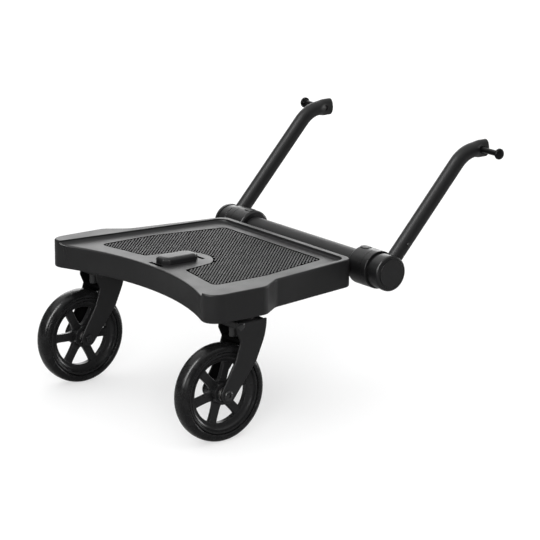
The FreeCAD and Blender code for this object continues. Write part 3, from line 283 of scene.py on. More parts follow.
class Wire:
    """A shader socket that can stand in a Python sum, which adds a Math node."""

    def __init__(self, finish, socket):
        self.finish, self.socket = finish, socket

    def __add__(self, other):
        return self.finish.maths("ADD", self, other)

    def __sub__(self, other):
        return self.finish.maths("SUBTRACT", self, other)

    def __rsub__(self, other):
        return self.finish.maths("SUBTRACT", other, self)

    def __mul__(self, other):
        return self.finish.maths("MULTIPLY", self, other)

    __radd__, __rmul__ = __add__, __mul__


class Finish:
    """A node tree being made, with one method that adds any node."""

    def __init__(self, tree):
        self.tree = tree
        tree.nodes.clear()

    def node(self, kind, settings=None, inputs=None, output=0):
        """Adds a node with its settings and with the values or wires of its sockets."""
        node = self.tree.nodes.new(kind)
        for name, value in (settings or {}).items():
            setattr(node, name, value)
        for name, value in (inputs or {}).items():
            if isinstance(value, Wire):
                self.tree.links.new(value.socket, node.inputs[name])
            else:
                node.inputs[name].default_value = value
        return Wire(self, node.outputs[output]) if node.outputs else None

    def maths(self, operation, first, second=0.0):
        """The result of a Math node."""
        return self.node("ShaderNodeMath", {"operation": operation}, {0: first, 1: second})

    def noise(self, scale, detail, stretch=(1, 1, 1)):
        """Noise over the piece, with about this many grains to a metre."""
        place = self.node("ShaderNodeTexCoord", output="Object")
        place = self.node("ShaderNodeMapping", {}, {"Vector": place, "Scale": stretch})
        return self.node("ShaderNodeTexNoise", {}, {"Vector": place, "Scale": scale, "Detail": detail})

    def levels(self, value, low, high):
        """Spreads the values between low and high over 0 to 1."""
        return self.node("ShaderNodeMapRange", {}, {0: value, 1: low, 2: high})

    def mix(self, factor, first, second):
        """A colour between two colours."""
        return self.node("ShaderNodeMix", {"data_type": "RGBA"},
                         {0: factor, 6: (*first, 1), 7: (*second, 1)}, output=2)

    def relief(self, height, strength, distance):
        """The normals of a fine relief."""
        return self.node("ShaderNodeBump", {},
                         {"Height": height, "Strength": strength, "Distance": distance})

    def place(self):
        """The x, y and z of a point on the piece."""
        spot = self.node("ShaderNodeTexCoord", output="Object")
        return [self.node("ShaderNodeSeparateXYZ", {}, {0: spot}, axis) for axis in "XYZ"]

    def surface(self, inputs, shadow=None, dark=None):
        """Ends the tree in a surface that gives way to a dull dark one where shadow is 1."""
        shader = self.node("ShaderNodeBsdfPrincipled", {}, inputs)
        if shadow:
            dull = self.node("ShaderNodeBsdfDiffuse", {}, {"Color": (*dark, 1)})
            shader = self.node("ShaderNodeMixShader", {}, {0: shadow, 1: shader, 2: dull})
        self.node("ShaderNodeOutputMaterial", {}, {"Surface": shader})


def tinted(colour, factor):
    """A colour made lighter or darker."""
    return tuple(min(1, part * factor) for part in colour)


def moulded_plastic(finish, colour, roughness=0.4, specular=0.19, shadow=None):
    """Spark-eroded moulding: a fine even grain with faint flow clouds."""
    clouds = finish.noise(scale=22, detail=3)
    grain = finish.noise(scale=1500, detail=1)
    # Where a shadow mask is given, painted shade: a dull surface at 0.3 of the colour mixes in
    finish.surface({
        "Base Color": finish.mix(clouds, tinted(colour, 0.8), tinted(colour, 1.25)),
        "Roughness": finish.levels(clouds, 0.3, 0.7) * 0.08 + (roughness - 0.04),
        "Specular IOR Level": specular,
        "Normal": finish.relief(grain, strength=0.12, distance=0.00015)}, shadow, tinted(colour, 0.3))


def tray_plastic(finish, colour):
    """The same moulding, with painted shade in the bed round the mat."""
    plane, bed = deck_heights(bpy.context.scene.board_deck)[:2]
    margin, lip, fade = 4 * MM, 0.1 * MM, 1 * MM
    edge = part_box("standing_mat")[1] + Vector((margin, margin, 0))
    rear = WHEEL.y + 12 * MM
    across, along, height = finish.place()
    # Painted shade: below the standing plane, inside the mat's outline and ahead of the rear, the surface
    # turns dull and dark
    sunk = finish.levels(height, plane - lip, plane - 5 * lip) * finish.levels(height, bed - fade, bed)
    beside = finish.levels(finish.maths("ABSOLUTE", across), edge.x, edge.x - fade)
    inside = beside * finish.levels(along, edge.y, edge.y - fade)
    moulded_plastic(finish, colour, shadow=sunk * inside * finish.levels(along, rear, rear + fade))


def fork_plastic(finish, colour):
    """The same moulding, with painted shade between a fork's cheeks, below the height of its crown."""
    across, height = finish.place()[::2]
    from_wheel = finish.maths("ABSOLUTE", finish.maths("ABSOLUTE", across) - WHEEL.x)
    cheek, opening = 24.5 * MM, 21 * MM
    bridge, crown = 175 * MM, 169 * MM
    # Painted shade: between the cheeks and below the crown's height, the surface turns dull and dark
    within = finish.levels(from_wheel, cheek, opening) * finish.levels(height, bridge, crown)
    moulded_plastic(finish, colour, roughness=0.42, shadow=within)


def dull_rubber(finish, colour):
    """The looks of dull rubber, a little dusty in patches."""
    patches = finish.levels(finish.noise(scale=35, detail=4), 0.35, 0.75)
    return {
        "Base Color": finish.mix(patches, colour, tinted(colour, 1.7)),
        "Roughness": patches * 0.1 + 0.48,
        "Specular IOR Level": 0.5,
        "Normal": finish.relief(finish.noise(scale=2200, detail=2), strength=0.2, distance=0.0002)}


def bumper_rubber(finish, colour):
    """Dull rubber all over."""
    finish.surface(dull_rubber(finish, colour))


def mat_rubber(finish, colour):
    """Dull rubber whose grooves hold the shade between the studs."""
    sizes = bpy.context.scene.board_deck
    top = deck_heights(sizes)[0] - sizes.mat_sink
    height = finish.place()[2]
    groove = finish.levels(height, top - 0.01 * sizes.stud_height, top - 0.06 * sizes.stud_height)
    finish.surface(dull_rubber(finish, colour), groove, tinted(colour, 0.08))


def tyre_rubber(finish, colour):
    """Smooth tyre rubber with a soft sheen and faint scuffs round it."""
    scuffs = finish.levels(finish.noise(scale=90, detail=5), 0.45, 0.8)
    finish.surface({
        "Base Color": finish.mix(scuffs, colour, tinted(colour, 2.0)),
        "Roughness": scuffs * 0.14 + 0.24,
        "Specular IOR Level": 0.19,
        "Normal": finish.relief(finish.noise(scale=700, detail=2), strength=0.08, distance=0.0002)})


def powder_coat(finish, colour):
    """Matt powder coat with its orange-peel surface and fine specks."""
    peel = finish.noise(scale=650, detail=1)
    specks = finish.levels(finish.noise(scale=3000, detail=1), 0.62, 0.72)
    finish.surface({
        "Base Color": finish.mix(specks, colour, tinted(colour, 2.2)),
        "Roughness": specks * 0.1 + 0.46,
        "Specular IOR Level": 0.22,
        "Normal": finish.relief(peel, strength=0.12, distance=0.0003)})


def blackened_steel(finish, colour):
    """Oiled black steel with faint rubbed patches."""
    rubbed = finish.levels(finish.noise(scale=260, detail=4), 0.5, 0.8)
    finish.surface({
        "Base Color": finish.mix(rubbed, colour, tinted(colour, 2.4)),
        "Metallic": rubbed * 0.2,
        "Roughness": 0.2 - rubbed * 0.05,
        "Normal": finish.relief(finish.noise(scale=900, detail=2), strength=0.05, distance=0.0002)})


def bright_steel(finish, colour):
    """Zinc-plated steel, turned round its axis."""
    lines = finish.noise(scale=400, detail=3, stretch=(6, 1, 1))
    finish.surface({
        "Base Color": finish.mix(lines, tinted(colour, 0.8), tinted(colour, 1.1)),
        "Metallic": 1.0,
        "Roughness": lines * 0.16 + 0.24,
        "Normal": finish.relief(lines, strength=0.06, distance=0.0002)})


def nylon(finish, colour):
    """Natural nylon, slightly clouded."""
    clouds = finish.noise(scale=120, detail=3)
    finish.surface({
        "Base Color": finish.mix(clouds, tinted(colour, 0.9), colour),
        "Roughness": clouds * 0.1 + 0.4,
        "Normal": finish.relief(finish.noise(scale=1200, detail=1), strength=0.06, distance=0.0002)})


FINISHES = {
    "tray_plastic": (tray_plastic, "plastic", {}),
    "handle_plastic": (moulded_plastic, "plastic", {"roughness": 0.33, "specular": 0.13}),
    "rim_plastic": (moulded_plastic, "plastic", {"roughness": 0.27}),
    "fork_plastic": (fork_plastic, "plastic", {}),
    "hinge_plastic": (moulded_plastic, "hinge", {"roughness": 0.30, "specular": 0.3}),
    "stud_plastic": (moulded_plastic, "stud", {"roughness": 0.26, "specular": 0.12}),
    "button_plastic": (moulded_plastic, "button", {"roughness": 0.42}),
    "mat_rubber": (mat_rubber, "mat", {}),
    "tyre_rubber": (tyre_rubber, "rubber", {}),
    "bumper_rubber": (bumper_rubber, "rubber", {}),
    "black_paint": (powder_coat, "paint", {}),
    "black_steel": (blackened_steel, "black_steel", {}),
    "bare_steel": (bright_steel, "bare_steel", {}),
    "white_nylon": (nylon, "nylon", {}),
}


def finish_for(slot):
    """The material of a slot, made the first time that it is asked for."""
    name = slot + "_finish"
    if name not in bpy.data.materials:
        make, colour, extras = FINISHES[slot]
        material = bpy.data.materials.new(name)
        material.use_nodes = True
        make(Finish(material.node_tree), tuple(getattr(bpy.context.scene.board_colours, colour)), **extras)
    return bpy.data.materials[name]


# Modelling

NEAR = 0.01 * MM  # closer than this, two places count as one
SHARP = math.radians(30)  # an edge that turns by more can be rounded
SPARE = 5 * MM  # how far a cutting tool reaches past what it cuts
LONG = 300 * MM  # longer than half the deck
TALL = 3 * MM  # an edge that rises further stands upright


def verts_of(made):
    """The vertices in what an operator made."""
    return [part for part in made if isinstance(part, bmesh.types.BMVert)]


def edges_of(made):
    """The edges in what an operator made."""
    return [part for part in made if isinstance(part, bmesh.types.BMEdge)]


def at_height(height):
    """Picks the edges that lie level at a height."""
    return lambda edge: all(abs(vert.co.z - height) < NEAR for vert in edge.verts)


def upright(reach):
    """Picks the edges whose ends differ in height by more than reach."""
    return lambda edge: abs(edge.verts[0].co.z - edge.verts[1].co.z) > reach


def on_axis(spot):
    """The point at x = 0 of the axis that runs across through a spot."""
    return Vector((0, spot.y, spot.z))


def turned(profile, centre, steps, closed=False, axis=ACROSS):
    """A shape turned about an axis through centre, from its (along, radius) points."""
    bm = bmesh.new()
    side = UP if abs(axis.z) < 0.5 else FORWARD
    points = [bm.verts.new(centre + axis * along + side * radius) for along, radius in profile]
    ends = list(zip(points, points[1:])) + ([(points[-1], points[0])] if closed else [])
    lines = [bm.edges.new(pair) for pair in ends]
    bmesh.ops.spin(bm, geom=points + lines, cent=centre, axis=axis, angle=math.tau, steps=steps,
                   use_merge=True)
    bmesh.ops.remove_doubles(bm, verts=bm.verts, dist=1e-6)
    bmesh.ops.recalc_face_normals(bm, faces=bm.faces)
    return bm


def dome(end, height, radius):
    """The (along, radius) points of a dome, from its foot to its crown at end."""
    return [(end - height * (1 - math.cos(angle)), radius * math.sin(angle))
            for angle in (math.radians(15 * step) for step in range(6, -1, -1))]


def round_edges(bm, edges, width, segments):
    """Rounds the given edges."""
    bmesh.ops.bevel(bm, geom=edges, offset=width, offset_type="OFFSET", segments=segments,
                    profile=0.5, affect="EDGES", material=-1, clamp_overlap=False)


def soften(bm, width, segments=3, chosen=None):
    """Rounds the sharp edges, or those of them that chosen picks."""
    edges = [edge for edge in bm.edges if edge.is_manifold and edge.calc_face_angle() > SHARP
             and (chosen is None or chosen(edge))]
    round_edges(bm, edges, width, segments)
    return bm


def box(low, high):
    """A plain block between two corners."""
    bm = bmesh.new()
    low, high = Vector(low), Vector(high)
    size = Matrix.Diagonal((*(high - low), 1))
    bmesh.ops.create_cube(bm, size=1, matrix=Matrix.Translation((low + high) / 2) @ size)
    return bm


def joined(*parts):
    """One mesh of several, which are freed."""
    whole = bmesh.new()
    for part in parts:
        mesh = bpy.data.meshes.new("part")
        part.to_mesh(mesh)
        part.free()
        whole.from_mesh(mesh)
        bpy.data.meshes.remove(mesh)
    return whole


def carved(bm, *tools, operation="DIFFERENCE"):
    """A mesh cut by tools, which are freed."""
    blocks = []
    for part in (bm, *tools):
        mesh = bpy.data.meshes.new("part")
        part.to_mesh(mesh)
        part.free()
        blocks.append(bpy.data.objects.new("part", mesh))
        bpy.context.scene.collection.objects.link(blocks[-1])
    for tool in blocks[1:]:
        cut = blocks[0].modifiers.new("cut", "BOOLEAN")
        cut.object, cut.operation, cut.solver = tool, operation, "EXACT"
    graph = bpy.context.evaluated_depsgraph_get()
    result = bmesh.new()
    result.from_object(blocks[0], graph)
    for block in blocks:
        mesh = block.data
        bpy.data.objects.remove(block)
        bpy.data.meshes.remove(mesh)
    bmesh.ops.remove_doubles(result, verts=result.verts, dist=2e-6)
    return result


def copied(node):
    """A merged copy of a node's mesh, with its flat faces whole."""
    bm = bmesh.new()
    bm.from_mesh(frame["nodes"][node].data)
    bmesh.ops.remove_doubles(bm, verts=bm.verts, dist=NEAR)
    bmesh.ops.dissolve_limit(bm, angle_limit=math.radians(0.5), verts=bm.verts, edges=bm.edges)
    return bm


def for_side(bm, side):
    """Keeps a right-hand shape for the right side, and turns it into the left-hand one for the left."""
    if side == "left":
        bmesh.ops.scale(bm, vec=(-1, 1, 1), verts=bm.verts)
        bmesh.ops.reverse_faces(bm, faces=bm.faces)
    return bm


def plan_face(bm, corners, height):
    """A level face on (x, y, radius) corners, each rounded to its radius."""
    points = [bm.verts.new((x, y, height)) for x, y, radius in corners]
    bm.faces.new(points)
    for index, (x, y, radius) in enumerate(corners):
        if radius:
            spot = Vector((x, y))
            before = Vector(corners[index - 1][:2]) - spot
            after = Vector(corners[(index + 1) % len(corners)][:2]) - spot
            reach = radius / math.tan(before.angle(after) / 2)
            bmesh.ops.bevel(bm, geom=[points[index]], offset=reach, offset_type="OFFSET", segments=10,
                            profile=0.5, affect="VERTICES", material=-1, clamp_overlap=False)


def bow_edge(bm, half, level, rise, cuts):
    """Bends the straight edge across x = 0 at y = level into an arc that stands rise further on."""
    def apart(edge):
        """How far an edge's ends are from the ends of the one that is bent."""
        return sum(abs(abs(vert.co.x) - half) + abs(vert.co.y - level) for vert in edge.verts)

    made = bmesh.ops.subdivide_edges(bm, edges=[min(bm.edges, key=apart)], cuts=cuts)["geom_inner"]
    radius = (half ** 2 + rise ** 2) / (2 * rise)
    for vert in verts_of(made):
        vert.co.y += math.sqrt(radius ** 2 - vert.co.x ** 2) - (radius - rise)


def raised(bm, face):
    """Extrudes a face on the spot and returns the new one."""
    made = bmesh.ops.extrude_face_region(bm, geom=[face])["geom"]
    return next(part for part in made if isinstance(part, bmesh.types.BMFace))


def raise_face(bm, height):
    """Makes a solid of a level face."""
    top = raised(bm, bm.faces[:][0])
    bmesh.ops.translate(bm, vec=UP * height, verts=top.verts)
    bmesh.ops.recalc_face_normals(bm, faces=bm.faces)
    return bm


def both_sides(half):
    """Corners of the right half, from front to rear, and of the left half back to the front."""
    return half + [(-x, y, radius) for x, y, radius in reversed(half)]


def piece(name, bm, body, slot, *nodes, crease=32):
    """Stands a finished mesh in the scene, on its body and in place of its nodes."""
    for face in bm.faces:
        face.smooth = True
    for edge in bm.edges:
        edge.smooth = edge.is_manifold and edge.calc_face_angle() < math.radians(crease)
    mesh = bpy.data.meshes.new(name)
    bm.to_mesh(mesh)
    bm.free()
    mesh.materials.append(finish_for(slot))
    thing = bpy.data.objects.new(name, mesh)
    bpy.context.scene.collection.objects.link(thing)
    even = thing.modifiers.new("even shading", "WEIGHTED_NORMAL")
    even.keep_sharp = True
    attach(thing, body)
    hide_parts(*nodes)
    return thing


# Deck, mat and handle

def deck_heights(sizes):
    """Heights of the standing plane, of the mat's bed and of the floor's underside."""
    plane = DECK_HIGH.z - sizes.rim_height
    bed = plane - sizes.mat_bed
    return plane, bed, bed - sizes.floor


def deck_corners(sizes, inset):
    """Plan of the deck drawn in by inset, and the half width, level and rise of its trailing curve."""
    rear, tail = DECK_HIGH.x - inset, WHEEL.y - sizes.tail + inset
    shoulder = WHEEL.y + sizes.shoulder_start
    start = rear - sizes.corner_run
    radius = (rear ** 2 + sizes.hollow ** 2) / (2 * sizes.hollow)
    rise = math.sqrt(radius ** 2 - start ** 2) - (radius - sizes.hollow)
    curve = (start, tail + rise, sizes.hollow - rise)
    return both_sides([
        (sizes.front_width / 2 - inset, DECK_HIGH.y - inset, sizes.front_round - inset),
        (sizes.waist_width / 2 - inset, shoulder + sizes.shoulder_run, sizes.shoulder_round),
        (rear, shoulder, sizes.shoulder_round),
        (rear, tail, sizes.rear_round - inset),
        (start, tail + rise, 0)]), curve


def deck_block(sizes, inset, low, high):
    """The deck's plan as a solid."""
    bm = bmesh.new()
    corners, curve = deck_corners(sizes, inset)
    plan_face(bm, corners, low)
    bow_edge(bm, *curve, cuts=29)
    return raise_face(bm, high - low)


def mat_face(sizes, margin, height):
    """The mat's plan, drawn in by margin, as a level face with its notch round the handle's tongue."""
    front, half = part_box("standing_mat")[1].y, sizes.mat_width / 2 - margin
    nose, nose_y = sizes.notch_nose + margin, WHEEL.y + sizes.notch_nose_place + margin
    mouth, mouth_y = sizes.notch_mouth + margin, WHEEL.y + sizes.notch_mouth_place + margin
    bm = bmesh.new()
    plan_face(bm, both_sides([
        (sizes.mat_front_width / 2 - margin, front - margin, sizes.mat_round),
        (half, WHEEL.y + sizes.mat_bend, sizes.mat_bend_round),
        (half, WHEEL.y + sizes.mat_rear + margin, sizes.mat_round),
        (mouth, mouth_y, sizes.notch_mouth_round),
        (nose, nose_y, 0)]), height)
    bow_edge(bm, nose, nose_y, sizes.notch_nose_rise, cuts=23)
    return bm


def recess_tool(sizes):
    """The hollow above the standing plane, with the rim's sloped inner sides."""
    plane, front = deck_heights(sizes)[0], DECK_HIGH.y - sizes.rim_front - sizes.rim_front_slope
    rear, beyond = WHEEL.y - sizes.tail, 60 * MM
    share = 1 - sizes.rim_slope / (DECK_HIGH.x - sizes.rim_rear_side)
    front_half = (sizes.front_width / 2 - sizes.rim_front_side) * share
    rear_half = (DECK_HIGH.x - sizes.rim_rear_side) * share
    run_out = (rear_half - front_half) / (front - rear) * beyond
    bm = bmesh.new()
    plan_face(bm, both_sides([(front_half, front, sizes.rim_corner),
                              (rear_half + run_out, rear - beyond, 0)]), plane)
    steps, top = 8, bm.faces[:][0]
    sweep = [math.radians(90) * step / steps for step in range(steps + 1)]
    for step, (start, end) in enumerate(zip(sweep, sweep[1:])):
        below, top = top, raised(bm, top)
        if step:
            bmesh.ops.delete(bm, geom=[below], context="FACES_ONLY")
        widen = [1 + (1 / share - 1) * math.sin(angle) for angle in (start, end)]
        for vert in top.verts:
            vert.co.z += sizes.rim_fillet * (math.cos(start) - math.cos(end))
            vert.co.x *= widen[1] / widen[0]
            if vert.co.y > 0:
                vert.co.y += sizes.rim_front_slope * (math.sin(end) - math.sin(start))
    below, top = top, raised(bm, top)
    bmesh.ops.delete(bm, geom=[below], context="FACES_ONLY")
    bmesh.ops.translate(bm, vec=UP * SPARE, verts=top.verts)
    bmesh.ops.recalc_face_normals(bm, faces=bm.faces)
    return bm


def deck_shell(sizes):
    """The deck's tray: its rim, the mat's bed, the slits and slots, and its hollow underside."""
    plane, bed, ceiling = deck_heights(sizes)
    grip_y = middle("lift_handle").y
    slots = [box((-sizes.slot_half, grip_y + place - width / 2, ceiling - SPARE),
                 (sizes.slot_half, grip_y + place + width / 2, DECK_HIGH.z))
             for place, width in ((-sizes.slit_place, sizes.slit_width),
                                  (sizes.slit_place, sizes.slit_width),
                                  (-sizes.leg_slot_place, sizes.leg_slot_width),
                                  (sizes.leg_slot_place, sizes.leg_slot_width))]
    block = deck_block(sizes, 0, DECK_LOW.z, DECK_HIGH.z)
    soften(block, sizes.edge_round, 4, at_height(DECK_HIGH.z))
    soften(block, sizes.foot_round, 3, at_height(DECK_LOW.z))
    mat_bed = raise_face(mat_face(sizes, -sizes.mat_gap / 2, bed), DECK_HIGH.z - bed + SPARE)
    hollow = deck_block(sizes, sizes.wall, DECK_LOW.z - SPARE, ceiling)
    shell = carved(block, recess_tool(sizes), mat_bed, hollow, *slots)

    def trailing(edge):
        """Whether an edge lies along the top of the trailing wall."""
        high = all(plane - NEAR < vert.co.z < plane + sizes.rim_fillet for vert in edge.verts)
        return high and any(abs(face.normal.z) < 0.1 and face.normal.y < -0.1
                            and min(vert.co.z for vert in face.verts) < ceiling - NEAR
                            for face in edge.link_faces)

    soften(shell, sizes.edge_round, 4, trailing)
    return soften(shell, sizes.rim_round, 3, at_height(DECK_HIGH.z))


def deck_ribs(sizes):
    """The ribs below the deck's floor, each run a little into the walls."""
    ceiling, overlap = deck_heights(sizes)[2], 0.5 * MM
    low, half = DECK_LOW.z + sizes.rib_rise, sizes.rib / 2
    room = deck_block(sizes, sizes.wall - overlap, DECK_LOW.z, ceiling + overlap)
    ribs = []
    for place in range(-4, 4):
        x = (place + 0.5) * sizes.rib_spacing
        ribs.append(box((x - half, -LONG, low), (x + half, LONG, ceiling)))
    for place in range(6):
        y = WHEEL.y + sizes.rib_start + place * sizes.rib_spacing
        ribs.append(box((-LONG, y - half, low), (LONG, y + half, ceiling)))
    ribs = [carved(rib, room.copy(), operation="INTERSECT") for rib in ribs]
    room.free()
    return ribs


def deck_bosses(sizes):
    """The two bosses that hold the casters."""
    ceiling = deck_heights(sizes)[2]
    profile = [(DECK_LOW.z, sizes.boss_bore), (DECK_LOW.z, sizes.boss_radius),
               (ceiling, sizes.boss_radius), (ceiling, sizes.boss_bore)]
    spots = [Vector((side * WHEEL.x, middle("kingpin_right").y, 0)) for side in (-1, 1)]
    return [soften(turned(profile, spot, 48, closed=True, axis=UP), sizes.boss_round) for spot in spots]


class BOARD_OT_deck(bpy.types.Operator):
    """Models the deck tray with its rim, mat bed, handle slots and ribbed underside"""
    bl_idname = "board.deck"
    bl_label = "Deck Tray"

    def execute(self, context):
        sizes = context.scene.board_deck
        deck = joined(deck_shell(sizes), *deck_ribs(sizes), *deck_bosses(sizes))
        piece("deck", deck, "board", "tray_plastic", "deck_tray")
        return {"FINISHED"}


def stud_sheet(sizes, base):
    """A closed sheet of small diamond studs on the mat's plan, whose grooves lie at base."""
    outline = mat_face(sizes, sizes.stud_border, 0)
    loop = [vert.co.copy() for vert in outline.faces[:][0].verts]
    outline.free()

    def within(spot):
        """Whether a spot lies inside the outline."""
        crossings = [one.x + (spot.y - one.y) * (two.x - one.x) / (two.y - one.y) > spot.x
                     for one, two in zip(loop, loop[1:] + loop[:1])
                     if (one.y > spot.y) != (two.y > spot.y)]
        return sum(crossings) % 2 == 1

    studs, cells, skirt = bmesh.new(), 96, 0.4 * MM
    place = Matrix.Translation((0, middle("standing_mat").y, base))
    bmesh.ops.create_grid(studs, x_segments=cells, y_segments=cells, size=cells * sizes.stud_pitch / 2,
                          matrix=place @ Matrix.Rotation(math.radians(45), 4, "Z"))
    spare = [face for face in studs.faces if not within(face.calc_center_median())]
    bmesh.ops.delete(studs, geom=spare, context="FACES")
    tops = studs.faces[:]
    bmesh.ops.inset_individual(studs, faces=tops, thickness=sizes.stud_gap / 2, depth=0)
    bmesh.ops.inset_individual(studs, faces=tops, thickness=sizes.stud_slope, depth=sizes.stud_height)
    border = [edge for edge in studs.edges if edge.is_boundary]
    made = bmesh.ops.extrude_edge_only(studs, edges=border)["geom"]
    bmesh.ops.translate(studs, vec=UP * -skirt, verts=verts_of(made))
    bmesh.ops.holes_fill(studs, edges=[edge for edge in studs.edges if edge.is_boundary])
    bmesh.ops.recalc_face_normals(studs, faces=studs.faces)
    return studs


class BOARD_OT_mat(bpy.types.Operator):
    """Models the non-slip mat with its small diamond studs"""
    bl_idname = "board.mat"
    bl_label = "Standing Mat"

    def execute(self, context):
        sizes, sunk = context.scene.board_deck, 0.05 * MM
        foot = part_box("standing_mat")[0].z
        base = deck_heights(sizes)[0] - sizes.mat_sink - sizes.stud_height
        slab = raise_face(mat_face(sizes, sizes.mat_gap / 2, foot), base - sunk - foot)
        mat = joined(slab, stud_sheet(sizes, base))
        piece("mat", mat, "board", "mat_rubber", "standing_mat", crease=20)
        return {"FINISHED"}


class BOARD_OT_handle(bpy.types.Operator):
    """Models the lift handle with its bevelled grip and hooked legs"""
    bl_idname = "board.handle"
    bl_label = "Lift Handle"

    def execute(self, context):
        sizes = context.scene.board_deck
        low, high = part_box("lift_handle")
        plane, centre = deck_heights(sizes)[0], middle("lift_handle").y
        side, end, cut = sizes.grip_side, sizes.grip_end, sizes.grip_cut
        grip = bmesh.new()
        plan_face(grip, both_sides([
            (side - cut, centre + end, 0), (side, centre + end - cut, 0),
            (side, centre + cut - end, 0), (side - cut, centre - end, 0)]), plane)
        raise_face(grip, high.z - plane - sizes.grip_drop)
        sweep = [math.radians(15 * step) for step in range(7)]
        for start, stop in zip(sweep, sweep[1:]):
            top = [max(grip.faces, key=lambda face: face.calc_center_median().z)]
            bmesh.ops.inset_region(grip, faces=top, use_even_offset=True,
                                   thickness=sizes.grip_round * (math.cos(start) - math.cos(stop)),
                                   depth=sizes.grip_drop * (math.sin(stop) - math.sin(start)))
        soften(grip, sizes.grip_edge, 3, upright(1e-6))
        legs, half = [], sizes.leg_half
        for way in (-1, 1):
            near, far, hook = (centre + way * place
                               for place in (sizes.leg_inner, sizes.leg_outer, sizes.leg_hook))
            legs.append(box((-half, min(near, far), low.z),
                            (half, max(near, far), plane + sizes.leg_root)))
            legs.append(box((-half, min(near, hook), low.z),
                            (half, max(near, hook), low.z + sizes.hook_height)))
        grip = joined(grip, *(soften(leg, sizes.leg_round, 2) for leg in legs))
        piece("lift_grip", grip, "lift_handle", "handle_plastic", "lift_handle")
        return {"FINISHED"}


# Wheels and casters

def tyre_shape(sizes):
    """A tyre with rounded shoulders and mould nicks across its tread."""
    low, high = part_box("tyre_right")
    radius, half = (high.z - low.z) / 2, (high.x - low.x) / 2
    section = [(0, 0), (4, 0.15), (8, 0.85), (11.3, 2.3), (13.8, 4.7), (15.1, 7.4), (15.5, 9.6),
               (15.2, 11), (14.2, 12), (12.6, 12.4)]
    widest = max(x for x, depth in section)
    right = [(x * half / widest, radius - depth * MM) for x, depth in section]
    tyre = turned([(-x, r) for x, r in reversed(right[1:])] + right, WHEEL, 144, closed=True)
    first = 0.35
    tools = []
    for place in range(sizes.nicks):
        tool = box(WHEEL + Vector((-half, -sizes.nick_width / 2, radius - sizes.nick_depth)),
                   WHEEL + Vector((half, sizes.nick_width / 2, radius + SPARE)))
        slant = Matrix.Rotation(sizes.nick_slant, 3, "Z")
        around = Matrix.Rotation(math.tau * (place + first) / sizes.nicks, 3, "X")
        bmesh.ops.rotate(tool, cent=WHEEL, matrix=around @ slant, verts=tool.verts)
        tools.append(tool)
    return carved(tyre, *tools)


def spoke_shape(sizes, angle):
    """One flat spoke that widens into the hub and into the rim."""
    half, thick = sizes.spoke_width / 2, sizes.spoke_thickness / 2
    start, end = sizes.hub_radius - sizes.spoke_root, sizes.waist_radius + sizes.spoke_tip
    waist, flare, along = 0.94, 0.42, upright(TALL)
    spoke = box((-thick, -half, start), (thick, half, end))
    round_edges(spoke, [edge for edge in spoke.edges if along(edge)], sizes.spoke_round, 3)
    bmesh.ops.subdivide_edges(spoke, edges=[edge for edge in spoke.edges if along(edge)], cuts=9)
    for vert in spoke.verts:
        share = abs(2 * (vert.co.z - start) / (end - start) - 1)
        vert.co.y *= waist + flare * share ** 4
    bmesh.ops.rotate(spoke, cent=(0, 0, 0), matrix=Matrix.Rotation(angle, 3, "X"), verts=spoke.verts)
    bmesh.ops.translate(spoke, vec=WHEEL, verts=spoke.verts)
    return spoke


def rim_shape(sizes, start):
    """A dished rim, its flat spokes and its hub."""
    half, waist, bead_radius = sizes.rim_width / 2, sizes.waist_width / 2, sizes.lip / 2
    depth = sizes.rim_radius - sizes.lip - sizes.waist_radius
    bead = [(half - bead_radius * (1 - math.sin(angle)),
             sizes.rim_radius - bead_radius * (1 - math.cos(angle)))
            for angle in (math.radians(22.5 * step) for step in range(8))]
    dish = [(waist + (half - waist) * (1 - math.sin(angle)), sizes.waist_radius + depth * math.cos(angle))
            for angle in (math.radians(12.85 * step) for step in range(8))]
    right = bead + dish
    rim = turned(right + [(-x, radius) for x, radius in reversed(right)], WHEEL, 144, closed=True)
    soften(rim, sizes.rim_round)
    wide, seat = sizes.hub_width / 2, sizes.bearing_radius
    deep, bore = wide - sizes.bearing_depth, seat - sizes.bearing_step
    hub = turned([(-wide, seat), (-wide, sizes.hub_radius), (wide, sizes.hub_radius), (wide, seat),
                  (deep, seat), (deep, bore), (-deep, bore), (-deep, seat)], WHEEL, 64, closed=True)
    soften(hub, sizes.hub_round)
    spokes = [spoke_shape(sizes, start + math.tau * place / sizes.spokes) for place in range(sizes.spokes)]
    return joined(rim, hub, *spokes)


class BOARD_OT_wheels(bpy.types.Operator):
    """Models the two wheels: dished rims with flat spokes, and tyres"""
    bl_idname = "board.wheels"
    bl_label = "Wheels"

    def execute(self, context):
        sizes = context.scene.board_wheels
        for side in SIDES:
            start = sizes.right_turn if side == "right" else sizes.left_turn
            rim = for_side(rim_shape(sizes, start - math.radians(90)), side)
            piece(f"rim_{side}", rim, f"wheel_{side}", "rim_plastic", f"wheel_rim_{side}")
            tyre = for_side(tyre_shape(sizes), side)
            piece(f"tread_{side}", tyre, f"wheel_{side}", "tyre_rubber", f"tyre_{side}", crease=40)
        return {"FINISHED"}


def bolt_shape(sizes):
    """An axle bolt with a domed and flanged head and its key socket."""
    low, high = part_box("axle_bolt_right")
    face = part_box("caster_fork_right")[1].x
    bolt = turned([(low.x, 0), (low.x, sizes.bolt_radius), (face, sizes.bolt_radius),
                   (face, sizes.bolt_flange), (face + sizes.flange_height, sizes.bolt_flange),
                   (face + sizes.flange_rise, sizes.bolt_head),
                   *dome(high.x, sizes.bolt_dome, sizes.bolt_head)], on_axis(WHEEL), 48)
    socket = bmesh.new()
    place = Matrix.Translation((high.x, WHEEL.y, WHEEL.z)) @ Matrix.Rotation(math.radians(90), 4, "Y")
    bmesh.ops.create_cone(socket, cap_ends=True, segments=6, radius1=sizes.key_radius,
                          radius2=sizes.key_radius, depth=2 * sizes.key_depth, matrix=place)
    return carved(bolt, socket)


